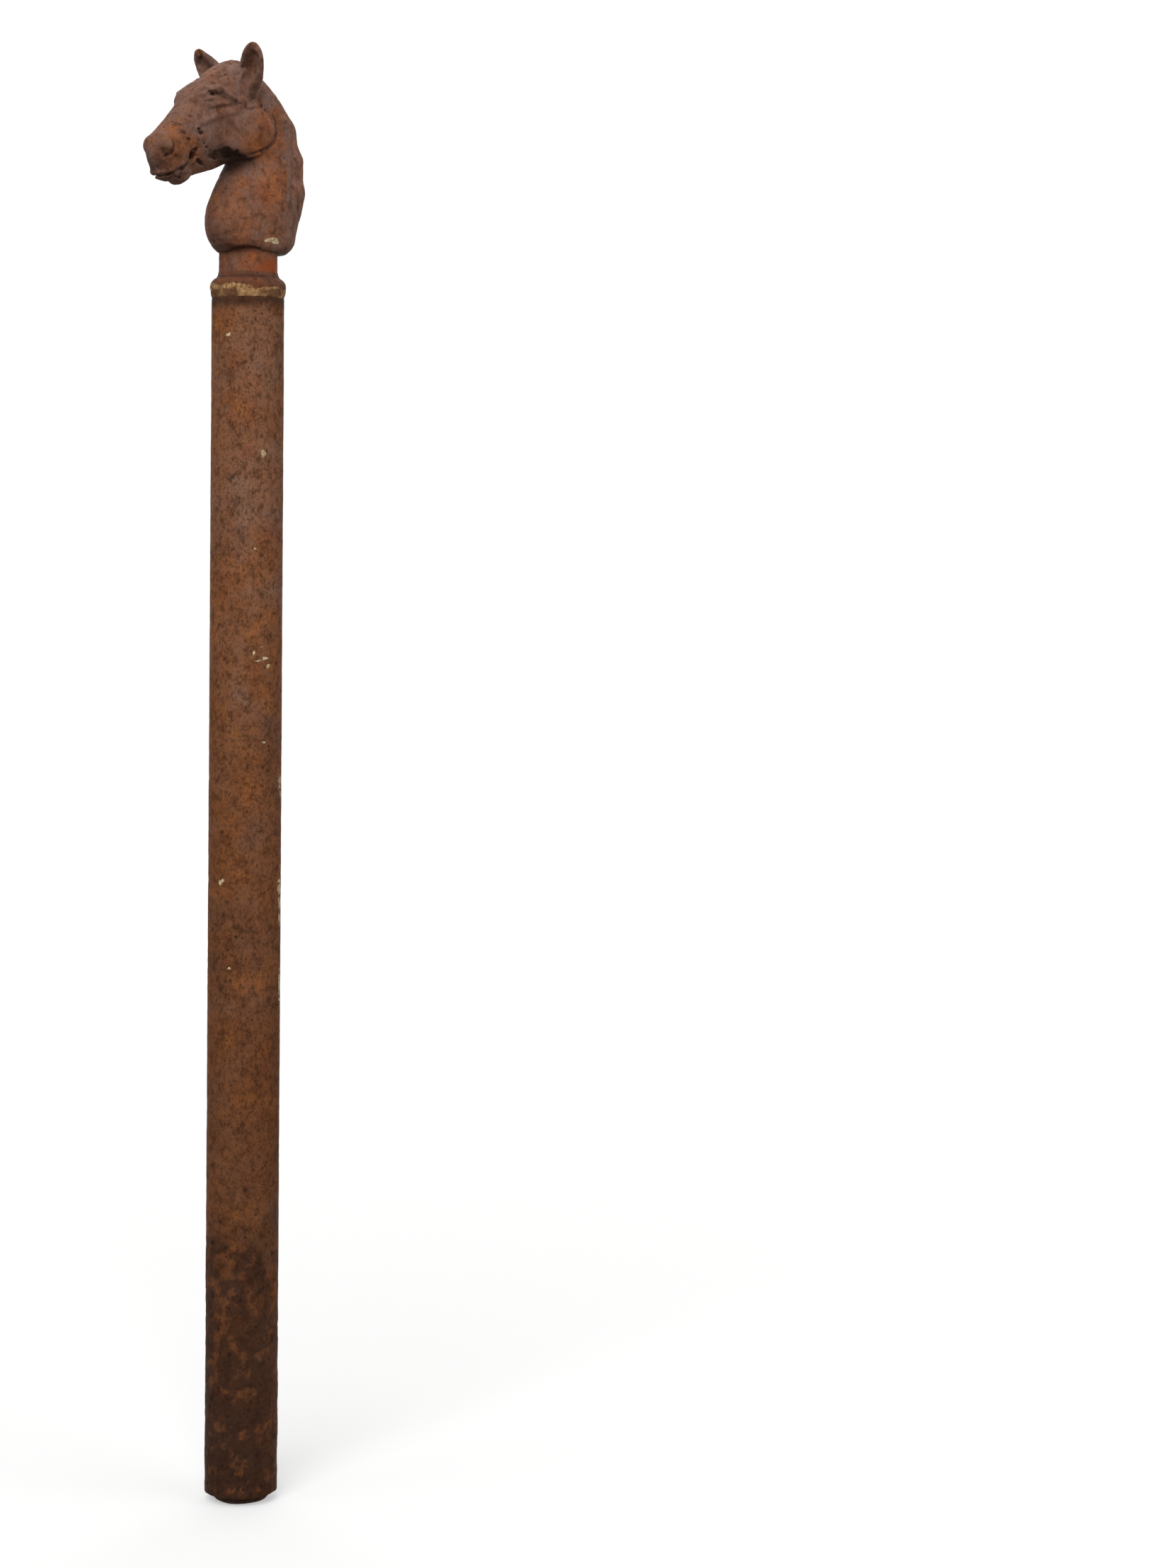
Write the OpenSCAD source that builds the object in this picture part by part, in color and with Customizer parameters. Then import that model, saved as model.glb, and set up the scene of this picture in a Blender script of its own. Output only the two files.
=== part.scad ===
// Cast iron hitching post: a horse's head on a planted iron pipe.
// Millimetres. +Z is up, the origin is on the post's axis at the ground line,
// and the horse looks along -Y.

/* [Post pipe] */
// Outside diameter of the pipe
pipe_od = 73; // [60:0.5:90]
// Wall of the pipe
pipe_wall = 6.5; // [4:0.25:9]
// Length of pipe above the ground line
pipe_above = 943; // [600:1:1200]
// Length of pipe below the ground line
pipe_buried = 260; // [150:1:400]

/* [Foot plug] */
// Length of plug held in the pipe
plug_in = 60; // [40:1:120]
// Length of plug that stands out below the pipe
plug_out = 9; // [6:0.5:20]
// Radius of the plug's worn lower edge
plug_edge = 5; // [1:0.5:6]

/* [Neck stub] */
// Wall of the stub
stub_wall = 6; // [3:0.25:9]
// Length of stub held in the pipe
stub_in_pipe = 90; // [60:1:160]
// Bare length of stub between the collar and the head
stub_bare = 20; // [8:0.5:40]
// Length of stub held in the head
stub_in_head = 45; // [30:1:55]

/* [Collar] */
// How far the collar's bead stands out past the pipe
bead_out = 1.6; // [0.5:0.1:6]
// Height of the bead
bead_h = 17; // [12:0.5:20]
// Height of the lip round the stub
lip_h = 5; // [2:0.5:8]
// Wall of the lip
lip_wall = 2.2; // [1:0.1:4]
// Thickness of the caulking under the collar
caulk_h = 4; // [2:0.5:8]
// How far the caulking swells out past the pipe
caulk_out = 0.8; // [0.2:0.1:2]

/* [Horse head] */
// Height of the head from its base to the ear tips
head_h = 207.5; // [190:0.5:230]
// Radius of the casting's core above the stub
core_r = 19; // [8:0.5:20]
// Height of the core above the base of the head
core_up = 86; // [60:1:90]
// Diameter of the tether hole through the corners of the mouth
tether_d = 8.4; // [5:0.1:11]

/* [Pins] */
// Diameter of the cross pins
pin_d = 10; // [6:0.5:12]
// Height of the head's pin above the base of the head
head_pin_up = 12; // [10:0.5:24]
// Depth of the stub's pin below the top of the pipe
stub_pin_down = 45; // [20:1:50]
// Height of the plug's pin above the bottom of the pipe
plug_pin_up = 30; // [15:1:32]

/* [Clearances] */
// Gap round the stub and the plug inside the pipe
slide_gap = 0.5; // [0.2:0.05:0.8]
// Gap round the stub inside the collar and the head
seat_gap = 0.3; // [0.1:0.05:0.6]
// Gap round a driven pin
pin_gap = 0.05; // [0.02:0.01:0.2]
// Depth of a pin's end below the surface round it
pin_sunk = 0.3; // [0.1:0.1:1]

/* [Hidden] */
$fn = 96;

rust = "#6b4330";
dark_rust = "#3a261d";
warm_rust = "#7d4c33";
old_putty = "#a58a5c";

// Past either face of what a cut goes through
through = 1;

// Radii that fit one another
pipe_r = pipe_od / 2;
pipe_bore_r = pipe_r - pipe_wall;
slide_r = pipe_bore_r - slide_gap;
seat_r = slide_r + seat_gap;
pin_r = pin_d / 2;
pin_hole_r = pin_r + pin_gap;
// The bead is more than half a round, so that it keeps a flat seat
bead_r = 0.57 * bead_h;

// Heights from the ground line
pipe_bottom_z = -pipe_buried;
caulk_z = pipe_above;
collar_z = caulk_z + caulk_h;
lip_z = collar_z + bead_h;
head_z = lip_z + lip_h + stub_bare;
stub_bottom_z = pipe_above - stub_in_pipe;
stub_top_z = head_z + stub_in_head;
head_pin_z = head_z + head_pin_up;
stub_pin_z = pipe_above - stub_pin_down;
plug_pin_z = pipe_bottom_z + plug_pin_up;

// The sculpted head is drawn at one design size and brought to head_h:
// x to the side, u forward and h up from the base.
design_h = 207.5;
head_scale = head_h / design_h;

// Face line: a poll point, and a slope down to the muzzle. Along it, s runs
// from the poll to the nose and t stands up out of the face.
poll = [29, 193];
face_pitch = 41;
along = [cos(face_pitch), -sin(face_pitch)];
above = [sin(face_pitch), cos(face_pitch)];

// Neck sections: height, front, back, half width
neck_sections = [
    [-6, 24, -36, 27], [0, 33, -42, 31.2], [3, 38.5, -47.5, 32.4], [10, 46.5, -55, 33.2],
    [20, 52, -58.5, 33.8], [32, 53, -61.5, 34.5], [48, 49, -67.3, 34.5], [66, 40, -69, 33],
    [79, 32.5, -69.5, 30.5], [88, 27, -69.3, 28.5], [100, 22, -67.6, 26.5], [113, 18, -64, 24.5],
    [126, 15, -59.2, 22.5], [139, 13, -52.2, 21], [152, 12, -42, 18.5], [161, 8, -31, 15.5],
    [169, 2, -22, 11], [175, -3, -14, 6], [178, -6, -11, 2]
];

// Skull sections: place along the face, top, bottom, half width
skull_sections = [
    [-24, -45, -52, 3], [-16, -26.5, -54, 11], [-8, -11, -58, 16], [0, -0.5, -62, 19],
    [20, 5.5, -74, 23], [45, 8, -79, 24.5], [66, 7.5, -78, 24], [88, 5.5, -72, 21.5],
    [108, 4, -63, 18.5], [124, 3.5, -56, 17], [136, 2, -51, 16.5], [144, -2, -46, 15],
    [150, -8, -42, 12], [154, -16, -38, 8], [156, -26, -30, 0.8]
];
// Where the skull is widest, as a share of its depth below the top
widest_share = 0.42;
// Squareness of the skull's section over and under its widest line
roof_power = 2.4;
jaw_power = 1.75;

// Masses of the face: middle (x, s, t), radii (x, s, t), softness of the join
ear_root = [[16, 8, -22], [9, 13, 18], 6];
forelock = [[0, 4, -7], [13, 10, 5], 5];
brow = [[16, 61, -0.5], [8.8, 15, 6], 7];
temple_dip = [[29.5, 38, -8], [6, 10, 7], 5];
eyeball = [[21, 63, -6], [5, 7.5, 5.5], 2];
nostril_wing = [[10.5, 136, -10.5], [8.5, 9, 11], 4];
nostril_dip = [[19.5, 143, -8], [4, 3.5, 5], 2];
upper_lip = [[0, 147, -32], [16, 10.5, 10], 5];
chin = [[0, 133, -48.5], [12.5, 13.5, 7], 3];

// Ridges and grooves: two ends (x, s, t), radii at the ends, softness
cheekbone = [[20, 72, -8], [21, 34, -31], 5, 5, 3];
cheekbone_groove = [[28, 82, -12], [30, 34, -42], 4.5, 4, 3];
mouth_line = [[18, 118, -37], [14.5, 146, -42.5], 2.2, 2.8, 2];

// Jaw muscle: a low crowned disc on each cheek, in u and h
cheek_middle = [29, 121];
cheek_radii = [43, 29];
cheek_rise = 29.6;
cheek_crown = 5;
cheek_taper = 0.1;
cheek_taper_from = 12;
cheek_edge = 7;
cheek_join = 2;

// Mane: a raised band over the back of the neck, in waves, with a waved front edge
mane_rise = 1.3;
mane_swell = 0.8;
mane_crest = 98;
mane_swell_length = 34;
mane_from = 36;
mane_full = 70;
mane_share = 0.28;
mane_wave = 2.5;
mane_wave_length = 36;
mane_edge = 3;
mane_join = 1.5;
skull_join = 6;

// Ear: root and tip (x, u, h), half width, half depth, turn of its opening outwards
ear_foot = [15, 17, 156];
ear_tip = [39, 33.5, 207];
ear_half_w = 14.5;
ear_half_d = 8.5;
ear_turn = 14;
ear_waist = 0.35;
ear_hollow = 1.5;
ear_rings = 13;
ear_sides = 18;

// Tether hole, in u and h
tether_at = [94, 89];

// Rings of the loft: up the neck, round the throat, along the face, over the muzzle
throat_hinge = [41, 76];
hinge_reach = 50;
muzzle_middle = [138, -28];
neck_rings = 14;
throat_rings = 30;
face_rings = 16;
muzzle_rings = 8;
half_sides = 22;
ring_limit = 75;
hinge_limit = 62;
poll_limit = 76;
search_steps = 13;
spline_steps = 6;

// Smooth table through a column of stations, for lookup()
function slope_at(t, c, i) =
    let (a = max(i - 1, 0), b = min(i + 1, len(t) - 1))
    (t[b][c] - t[a][c]) / (t[b][0] - t[a][0]);

function hermite(y0, m0, y1, m1, w, f) =
    y0 * (2 * f ^ 3 - 3 * f ^ 2 + 1) + m0 * w * (f ^ 3 - 2 * f ^ 2 + f)
    + y1 * (3 * f ^ 2 - 2 * f ^ 3) + m1 * w * (f ^ 3 - f ^ 2);

function smooth_table(t, c) = concat(
    [for (i = [0 : len(t) - 2], k = [0 : spline_steps - 1])
        let (w = t[i + 1][0] - t[i][0], f = k / spline_steps)
        [t[i][0] + w * f, hermite(t[i][c], slope_at(t, c, i), t[i + 1][c], slope_at(t, c, i + 1), w, f)]],
    [[t[len(t) - 1][0], t[len(t) - 1][c]]]);

neck_front = smooth_table(neck_sections, 1);
neck_back = smooth_table(neck_sections, 2);
neck_half_w = smooth_table(neck_sections, 3);
neck_top = neck_sections[len(neck_sections) - 1][0];
skull_top = smooth_table(skull_sections, 1);
skull_bottom = smooth_table(skull_sections, 2);
skull_half_w = smooth_table(skull_sections, 3);
skull_start = skull_sections[0][0];
skull_end = skull_sections[len(skull_sections) - 1][0];

// Forms are signed: below zero inside, above zero outside
function joined(a, b, soft) =
    let (d = max(soft - abs(a - b), 0) / soft)
    min(a, b) - d * d * soft / 4;

function met(a, b, soft) = -joined(-a, -b, soft);

function carved(a, b, soft) = met(a, -b, soft);

function mass_form(p, m) =
    let (q = p - m[0],
         r = m[1],
         e = [q[0] / r[0], q[1] / r[1], q[2] / r[2]],
         g = [e[0] / r[0], e[1] / r[1], e[2] / r[2]],
         k = norm(e))
    k * (k - 1) / max(norm(g), 1e-6);

function ridge_form(p, m) =
    let (ab = m[1] - m[0],
         f = max(0, min(1, (p - m[0]) * ab / (ab * ab))))
    norm(p - m[0] - f * ab) - (m[2] + (m[3] - m[2]) * f);

function eased(f) =
    let (c = max(0, min(1, f)))
    c * c * (3 - 2 * c);

function neck_form(x, u, h) =
    let (front = lookup(h, neck_front),
         back = lookup(h, neck_back),
         w = lookup(h, neck_half_w),
         a = (front - back) / 2,
         mid = (front + back) / 2,
         plain = (norm([x / w, (u - mid) / a]) - 1) * min(w, a) + max(h - neck_top, 0),
         rise = mane_rise * (1 + mane_swell * cos(360 * (h - mane_crest) / mane_swell_length))
                * eased((h - mane_from) / (mane_full - mane_from)),
         edge = mid - mane_share * a + mane_wave * sin(360 * h / mane_wave_length),
         mane = met(plain - rise, u - edge, mane_edge))
    joined(plain, mane, mane_join);

function skull_form(x, s, t) =
    let (top = lookup(s, skull_top),
         bottom = lookup(s, skull_bottom),
         w = lookup(s, skull_half_w),
         mid = top - widest_share * (top - bottom),
         depth = t > mid ? top - mid : mid - bottom,
         power = t > mid ? roof_power : jaw_power,
         n = ((x / w) ^ power + (abs(t - mid) / depth) ^ power) ^ (1 / power))
    (n - 1) * min(w, min(top - mid, mid - bottom)) + max(s - skull_end, 0) + max(skull_start - s, 0);

function cheek_form(x, u, h) =
    let (r = norm([(u - cheek_middle[0]) / cheek_radii[0], (h - cheek_middle[1]) / cheek_radii[1]]),
         crown = cheek_rise - cheek_taper * max(u - cheek_taper_from, 0) - cheek_crown * r * r)
    met((r - 1) * cheek_radii[1], x - crown, cheek_edge);

function face_s(u, h) = ([u, h] - poll) * along;
function face_t(u, h) = ([u, h] - poll) * above;
function from_face(s, t) = poll + s * along + t * above;

// The whole head without its ears
function horse_form(x, u, h) =
    let (s = face_s(u, h),
         t = face_t(u, h),
         p = [x, s, t],
         bare = joined(neck_form(x, u, h), skull_form(x, s, t), skull_join),
         cheeked = joined(bare, cheek_form(x, u, h), cheek_join),
         rooted = joined(cheeked, mass_form(p, ear_root), ear_root[2]),
         browed = joined(rooted, mass_form(p, brow), brow[2]),
         hollowed = carved(browed, mass_form(p, temple_dip), temple_dip[2]),
         eyed = joined(hollowed, mass_form(p, eyeball), eyeball[2]),
         winged = joined(eyed, mass_form(p, nostril_wing), nostril_wing[2]),
         holed = carved(winged, mass_form(p, nostril_dip), nostril_dip[2]),
         lipped = joined(holed, mass_form(p, upper_lip), upper_lip[2]),
         chinned = joined(lipped, mass_form(p, chin), chin[2]),
         crowned = joined(chinned, mass_form(p, forelock), forelock[2]),
         boned = joined(crowned, ridge_form(p, cheekbone), cheekbone[4]),
         grooved = carved(boned, ridge_form(p, cheekbone_groove), cheekbone_groove[4]))
    carved(grooved, ridge_form(p, mouth_line), mouth_line[4]);

// A ring: its middle (u, h), its upward direction, its tilt over the muzzle, its search limits
function loft_rings() = concat(
    [for (i = [0 : neck_rings])
        let (h = throat_hinge[1] * i / neck_rings)
        [[(lookup(h, neck_front) + lookup(h, neck_back)) / 2, h], [-1, 0], 0, ring_limit, ring_limit]],
    [for (i = [1 : throat_rings])
        let (a = 180 - (90 + face_pitch) * i / throat_rings, d = [cos(a), sin(a)])
        [throat_hinge + hinge_reach * d, d, 0, poll_limit, hinge_reach]],
    [for (i = [1 : face_rings])
        let (f = i / face_rings,
             s0 = face_s(throat_hinge[0], throat_hinge[1]),
             t0 = face_t(throat_hinge[0], throat_hinge[1]) + hinge_reach)
        [from_face(s0 + (muzzle_middle[0] - s0) * f, t0 + (muzzle_middle[1] - t0) * f),
         above, 0, hinge_limit, hinge_limit]],
    [for (i = [1 : muzzle_rings - 1])
        [from_face(muzzle_middle[0], muzzle_middle[1]), above, 90 * i / muzzle_rings, hinge_limit, hinge_limit]]);

function surface_on(o, d, low, high, n) =
    let (mid = (low + high) / 2, p = o + mid * d)
    n == 0 ? p
    : horse_form(p[0], p[1], p[2]) > 0 ? surface_on(o, d, low, mid, n - 1)
    : surface_on(o, d, mid, high, n - 1);

function ring_point(ring, a) =
    let (up = cos(ring[2]) * cos(a) * ring[1] + sin(ring[2]) * along,
         side = cos(ring[2]) * sin(a))
    surface_on([0, ring[0][0], ring[0][1]], [side, up[0], up[1]], 0, cos(a) > 0 ? ring[3] : ring[4],
               search_steps);

function whole_ring(half) = concat(
    half, [for (i = [half_sides - 1 : -1 : 1]) [-half[i][0], half[i][1], half[i][2]]]);

// From the design's x, u and h to the part's X, Y and Z
function placed(p) = [p[0], -p[1], p[2]];

// Skin over rings of n points, closed by a last point at each end
function skin_faces(rings, n) = concat(
    [for (i = [0 : rings - 2], j = [0 : n - 1]) [i * n + j, i * n + (j + 1) % n, (i + 1) * n + (j + 1) % n]],
    [for (i = [0 : rings - 2], j = [0 : n - 1]) [i * n + j, (i + 1) * n + (j + 1) % n, (i + 1) * n + j]],
    [for (j = [0 : n - 1]) [rings * n, (j + 1) % n, j]],
    [for (j = [0 : n - 1]) [rings * n + 1, (rings - 1) * n + j, (rings - 1) * n + (j + 1) % n]]);

module bust() {
    rings = loft_rings();
    sides = 2 * half_sides;
    skin = [for (r = rings, p = whole_ring([for (i = [0 : half_sides]) ring_point(r, 180 * i / half_sides)]))
        placed(p)];
    nose = from_face(muzzle_middle[0], muzzle_middle[1]);
    base_point = placed([0, rings[0][0][0], 0]);
    nose_point = placed(surface_on([0, nose[0], nose[1]], [0, along[0], along[1]], 0, hinge_limit, search_steps));
    polyhedron(concat(skin, [base_point, nose_point]), skin_faces(len(rings), sides));
}

// Outline of the ear along its length, and the depth of its opening
function ear_w(f) =
    ear_half_w * (0.6 + 0.4 * min(1, f / ear_waist))
    * (1 - (max(f - ear_waist, 0) / (1 - ear_waist)) ^ 2.6) ^ 0.55;
function ear_d(f) = ear_half_d * (1 - f ^ 2.5) ^ 0.6;
function ear_dish(side, f) = cos(side) > 0 ? 1 - ear_hollow * exp(-(sin(side) / 0.6) ^ 2) * min(1, f * 2.5) : 1;

module ear() {
    axis = (ear_tip - ear_foot) / norm(ear_tip - ear_foot);
    facing = [sin(ear_turn), cos(ear_turn), 0];
    level = facing - axis * (facing * axis);
    opening = level / norm(level);
    across = cross(axis, opening);
    skin = [for (i = [0 : ear_rings - 1], j = [0 : ear_sides - 1])
        let (f = sin(88 * i / (ear_rings - 1)), a = 360 * j / ear_sides)
        placed(ear_foot + f * (ear_tip - ear_foot) + across * ear_w(f) * sin(a)
               + opening * ear_d(f) * cos(a) * ear_dish(a, f))];
    polyhedron(concat(skin, [placed(ear_foot), placed(ear_tip)]), skin_faces(ear_rings, ear_sides));
}

module head_form() {
    resize([0, 0, head_h], auto = true) {
        union() {
            bust();
            ear();
            mirror([1, 0, 0]) ear();
        }
    }
}

module cross_hole(r, z) {
    translate([-pipe_od, 0, z]) rotate([0, 90, 0]) cylinder(r = r, h = 2 * pipe_od);
}

// A pin across the post, cut off a little inside a round of the given radius
module flush_pin(z, outer_r) {
    intersection() {
        cross_hole(pin_r, z);
        translate([0, 0, z - pin_d]) cylinder(r = outer_r - pin_sunk, h = 2 * pin_d);
    }
}

module post_pipe() {
    color(rust) difference() {
        translate([0, 0, pipe_bottom_z]) cylinder(r = pipe_r, h = pipe_buried + pipe_above);
        translate([0, 0, pipe_bottom_z - through])
            cylinder(r = pipe_bore_r, h = pipe_buried + pipe_above + 2 * through);
        cross_hole(pin_hole_r, stub_pin_z);
        cross_hole(pin_hole_r, plug_pin_z);
    }
}

module foot_plug() {
    color(dark_rust) difference() {
        translate([0, 0, pipe_bottom_z]) rotate_extrude() union() {
            translate([0, plug_edge - plug_out]) square([slide_r, plug_out - plug_edge + plug_in]);
            translate([0, -plug_out]) square([slide_r - plug_edge, plug_edge]);
            intersection() {
                translate([slide_r - plug_edge, plug_edge - plug_out]) circle(r = plug_edge);
                translate([slide_r - plug_edge, -plug_out]) square(plug_edge);
            }
        }
        cross_hole(pin_hole_r, plug_pin_z);
    }
}

module plug_pin() {
    color(dark_rust) flush_pin(plug_pin_z, pipe_r);
}

module neck_stub() {
    color(warm_rust) difference() {
        translate([0, 0, stub_bottom_z]) cylinder(r = slide_r, h = stub_top_z - stub_bottom_z);
        translate([0, 0, stub_bottom_z - through])
            cylinder(r = slide_r - stub_wall, h = stub_top_z - stub_bottom_z + 2 * through);
        cross_hole(pin_hole_r, stub_pin_z);
        cross_hole(pin_hole_r, head_pin_z);
    }
}

module stub_pin() {
    color(rust) flush_pin(stub_pin_z, pipe_r);
}

module collar_caulking() {
    color(old_putty) difference() {
        translate([0, 0, caulk_z]) rotate_extrude() union() {
            square([pipe_r, caulk_h]);
            translate([pipe_r, caulk_h / 2]) intersection() {
                translate([caulk_out - caulk_h / 2, 0]) circle(r = caulk_h / 2);
                translate([0, -caulk_h / 2]) square(caulk_h);
            }
        }
        translate([0, 0, caulk_z - through]) cylinder(r = seat_r, h = caulk_h + 2 * through);
    }
}

module collar_ring() {
    color(warm_rust) difference() {
        translate([0, 0, collar_z]) rotate_extrude() union() {
            intersection() {
                translate([pipe_r + bead_out - bead_r, bead_h - bead_r]) circle(r = bead_r);
                square([pipe_od, bead_h]);
            }
            square([seat_r + lip_wall, bead_h + lip_h]);
        }
        translate([0, 0, collar_z - through]) cylinder(r = seat_r, h = bead_h + lip_h + 2 * through);
    }
}

module head_casting() {
    color(rust) difference() {
        translate([0, 0, head_z]) head_form();
        translate([0, 0, head_z - through]) cylinder(r = seat_r, h = stub_in_head + through);
        translate([0, 0, head_z]) cylinder(r = core_r, h = core_up);
        translate([0, -tether_at[0] * head_scale, head_z + tether_at[1] * head_scale])
            cross_hole(tether_d / 2, 0);
        cross_hole(pin_hole_r, head_pin_z);
    }
}

module head_pin() {
    pin_end = lookup(head_pin_up / head_scale, neck_half_w) * head_scale - pin_sunk;
    color(rust) intersection() {
        cross_hole(pin_r, head_pin_z);
        translate([-pin_end, -pin_d, head_pin_z - pin_d]) cube([2 * pin_end, 2 * pin_d, 2 * pin_d]);
    }
}

post_pipe();
foot_plug();
plug_pin();
neck_stub();
stub_pin();
collar_caulking();
collar_ring();
head_casting();
head_pin();
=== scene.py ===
import math

import bpy
import numpy as np
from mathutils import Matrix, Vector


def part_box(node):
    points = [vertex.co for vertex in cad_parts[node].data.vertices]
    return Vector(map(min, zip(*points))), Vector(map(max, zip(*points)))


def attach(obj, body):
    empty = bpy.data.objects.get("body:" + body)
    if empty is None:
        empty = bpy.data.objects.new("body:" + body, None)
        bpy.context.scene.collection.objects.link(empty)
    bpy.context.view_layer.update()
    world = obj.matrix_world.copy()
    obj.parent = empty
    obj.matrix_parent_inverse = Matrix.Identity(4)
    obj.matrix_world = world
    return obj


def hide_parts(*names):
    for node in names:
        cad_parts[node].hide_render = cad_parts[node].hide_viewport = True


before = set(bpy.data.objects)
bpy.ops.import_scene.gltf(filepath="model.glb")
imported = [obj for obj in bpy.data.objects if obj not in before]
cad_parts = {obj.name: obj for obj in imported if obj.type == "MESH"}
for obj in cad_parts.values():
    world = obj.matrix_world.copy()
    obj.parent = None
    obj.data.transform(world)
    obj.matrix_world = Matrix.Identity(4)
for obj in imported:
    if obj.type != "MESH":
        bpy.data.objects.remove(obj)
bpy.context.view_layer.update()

import openvdb as vdb
from mathutils import Matrix, Vector

MM = 0.001
BODY = "root"


# Noise on points in millimetres, the same on every run

HASH_X, HASH_Y, HASH_Z, HASH_SEED = 374761393, 668265263, 2246822519, 3266489917
WORD = 2 ** 32


def lattice(cell, seed):
    """One number from 0 to 1 for each whole-number cell."""
    with np.errstate(over="ignore"):
        c = cell.astype(np.int64).astype(np.uint32)
        h = c[..., 0] * np.uint32(HASH_X) + c[..., 1] * np.uint32(HASH_Y)
        h = h + c[..., 2] * np.uint32(HASH_Z) + np.uint32(seed * HASH_SEED % WORD)
        h = (h ^ (h >> np.uint32(15))) * np.uint32(HASH_Z)
        h = (h ^ (h >> np.uint32(13))) * np.uint32(HASH_SEED)
        h = h ^ (h >> np.uint32(16))
    return h.astype(np.float64) / (WORD - 1)


def value_noise(p, size, seed):
    """Smooth noise from -1 to 1 with lumps about size across."""
    q = p / size
    base = np.floor(q)
    f = q - base
    f = f * f * f * (f * (f * 6 - 15) + 10)
    out = np.zeros(len(q))
    for corner in np.ndindex(2, 2, 2):
        c = np.array(corner)
        w = np.prod(np.where(c == 1, f, 1 - f), axis=1)
        out += w * lattice(base + c, seed)
    return out * 2 - 1


def noise(p, size, seed, octaves):
    """Noise with finer and fainter lumps added to the broad ones."""
    out = np.zeros(len(p))
    gain = 1.0
    for k in range(octaves):
        out += gain * value_noise(p, size / 2 ** k, seed + 17 * k)
        gain *= 0.55
    return out


def pit_field(p, size, seed, share):
    """Round pits, one at most in each cell of the given size: 0 outside a pit and 1 at its bottom."""
    q = p / size
    base = np.floor(q)
    out = np.zeros(len(q))
    for step in np.ndindex(3, 3, 3):
        cell = base + np.array(step) - 1
        there = lattice(cell, seed) < share
        shift = np.stack([lattice(cell, seed + k) for k in (1, 2, 3)], 1) - 0.5
        radius = 0.16 + 0.26 * lattice(cell, seed + 4)
        d = np.linalg.norm(q - (cell + 0.5 + 0.7 * shift), axis=1) / radius
        out = np.maximum(out, np.where(there, np.clip(1 - d, 0, 1), 0))
    return out * out * (3 - 2 * out)


def ramp(a, b, v):
    """0 at a and 1 at b, with a smooth way between them."""
    f = np.clip((v - a) / (b - a), 0, 1)
    return f * f * (3 - 2 * f)


def spot(p, centre, reach):
    """A soft spot: 1 at its centre and about 0 past its reach on each axis."""
    q = (p - np.array(centre)) / reach
    return np.exp(-2.2 * (q * q).sum(axis=1))


def spots(p, table):
    """The sum of soft spots, from their strengths, centres and reaches."""
    return sum(strength * spot(p, centre, reach) for strength, centre, reach in table)


def axis_distance(p):
    """How far points are from the post's axis."""
    return np.hypot(p[:, 0], p[:, 1])


# Meshes

def vertex_normals(v, quads):
    """The outward direction at each point of a mesh of quads."""
    a, b, c, d = (v[quads[:, k]] for k in range(4))
    n = np.cross(c - a, d - b)
    out = np.zeros_like(v)
    for k in range(4):
        np.add.at(out, quads[:, k], n)
    return out / np.maximum(np.linalg.norm(out, axis=1, keepdims=True), 1e-12)


def raised(p, quads, height):
    """The points of a mesh, moved outward by a height in millimetres."""
    return p + vertex_normals(p, quads) * height[:, None]


def make_piece(name, verts_mm, faces, tints, material, node):
    """A piece from points in millimetres, with tints as point attributes, in place of a CAD node."""
    mesh = bpy.data.meshes.new(name)
    mesh.from_pydata((verts_mm * MM).tolist(), [], faces.tolist())
    mesh.validate()
    mesh.update()
    mesh.polygons.foreach_set("use_smooth", np.ones(len(mesh.polygons), dtype=bool))
    for key, values in tints.items():
        layer = mesh.attributes.new(key, "FLOAT", "POINT")
        layer.data.foreach_set("value", values.astype(np.float32))
    obj = bpy.data.objects.new(name, mesh)
    bpy.context.scene.collection.objects.link(obj)
    mesh.materials.append(material)
    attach(obj, BODY)
    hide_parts(node)


# Materials: layers of rust, driven by point tints and by noise in the part's own frame

# Sockets of the Mix node when it mixes colours
MIX_FACTOR, MIX_A, MIX_B, MIX_RESULT = 0, 6, 7, 2


def tone(r, g, b):
    """A colour as it looks on a screen, from 0 to 255, to the renderer's linear values."""
    def linear(v):
        v = v / 255
        return v / 12.92 if v <= 0.04045 else ((v + 0.055) / 1.055) ** 2.4
    return (linear(r), linear(g), linear(b), 1.0)


class Nodes:
    """Adds nodes to a node tree."""

    def __init__(self, tree):
        self.tree = tree

    def feed(self, node, inputs):
        """Sets inputs of a node to constants, or links them to outputs of other nodes."""
        for key, value in inputs.items():
            if isinstance(value, (int, float, tuple)):
                node.inputs[key].default_value = value
            else:
                self.tree.links.new(value, node.inputs[key])
        return node

    def add(self, kind, inputs, **settings):
        """A new node with its settings and inputs."""
        node = self.tree.nodes.new(kind)
        for key, value in settings.items():
            setattr(node, key, value)
        return self.feed(node, inputs)

    def math(self, kind, a, b, clamp=False):
        return self.add("ShaderNodeMath", {0: a, 1: b}, operation=kind, use_clamp=clamp).outputs[0]

    def plus(self, a, b, clamp=False):
        return self.math("ADD", a, b, clamp)

    def times(self, a, b):
        return self.math("MULTIPLY", a, b)

    def swing(self, value, middle, factor):
        """How far a value is from its middle, times a factor."""
        return self.times(self.math("SUBTRACT", value, middle), factor)

    def mix(self, factor, a, b):
        """Colour b over colour a, as far as the factor says."""
        inputs = {MIX_FACTOR: factor, MIX_A: a, MIX_B: b}
        return self.add("ShaderNodeMix", inputs, data_type="RGBA").outputs[MIX_RESULT]


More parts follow.
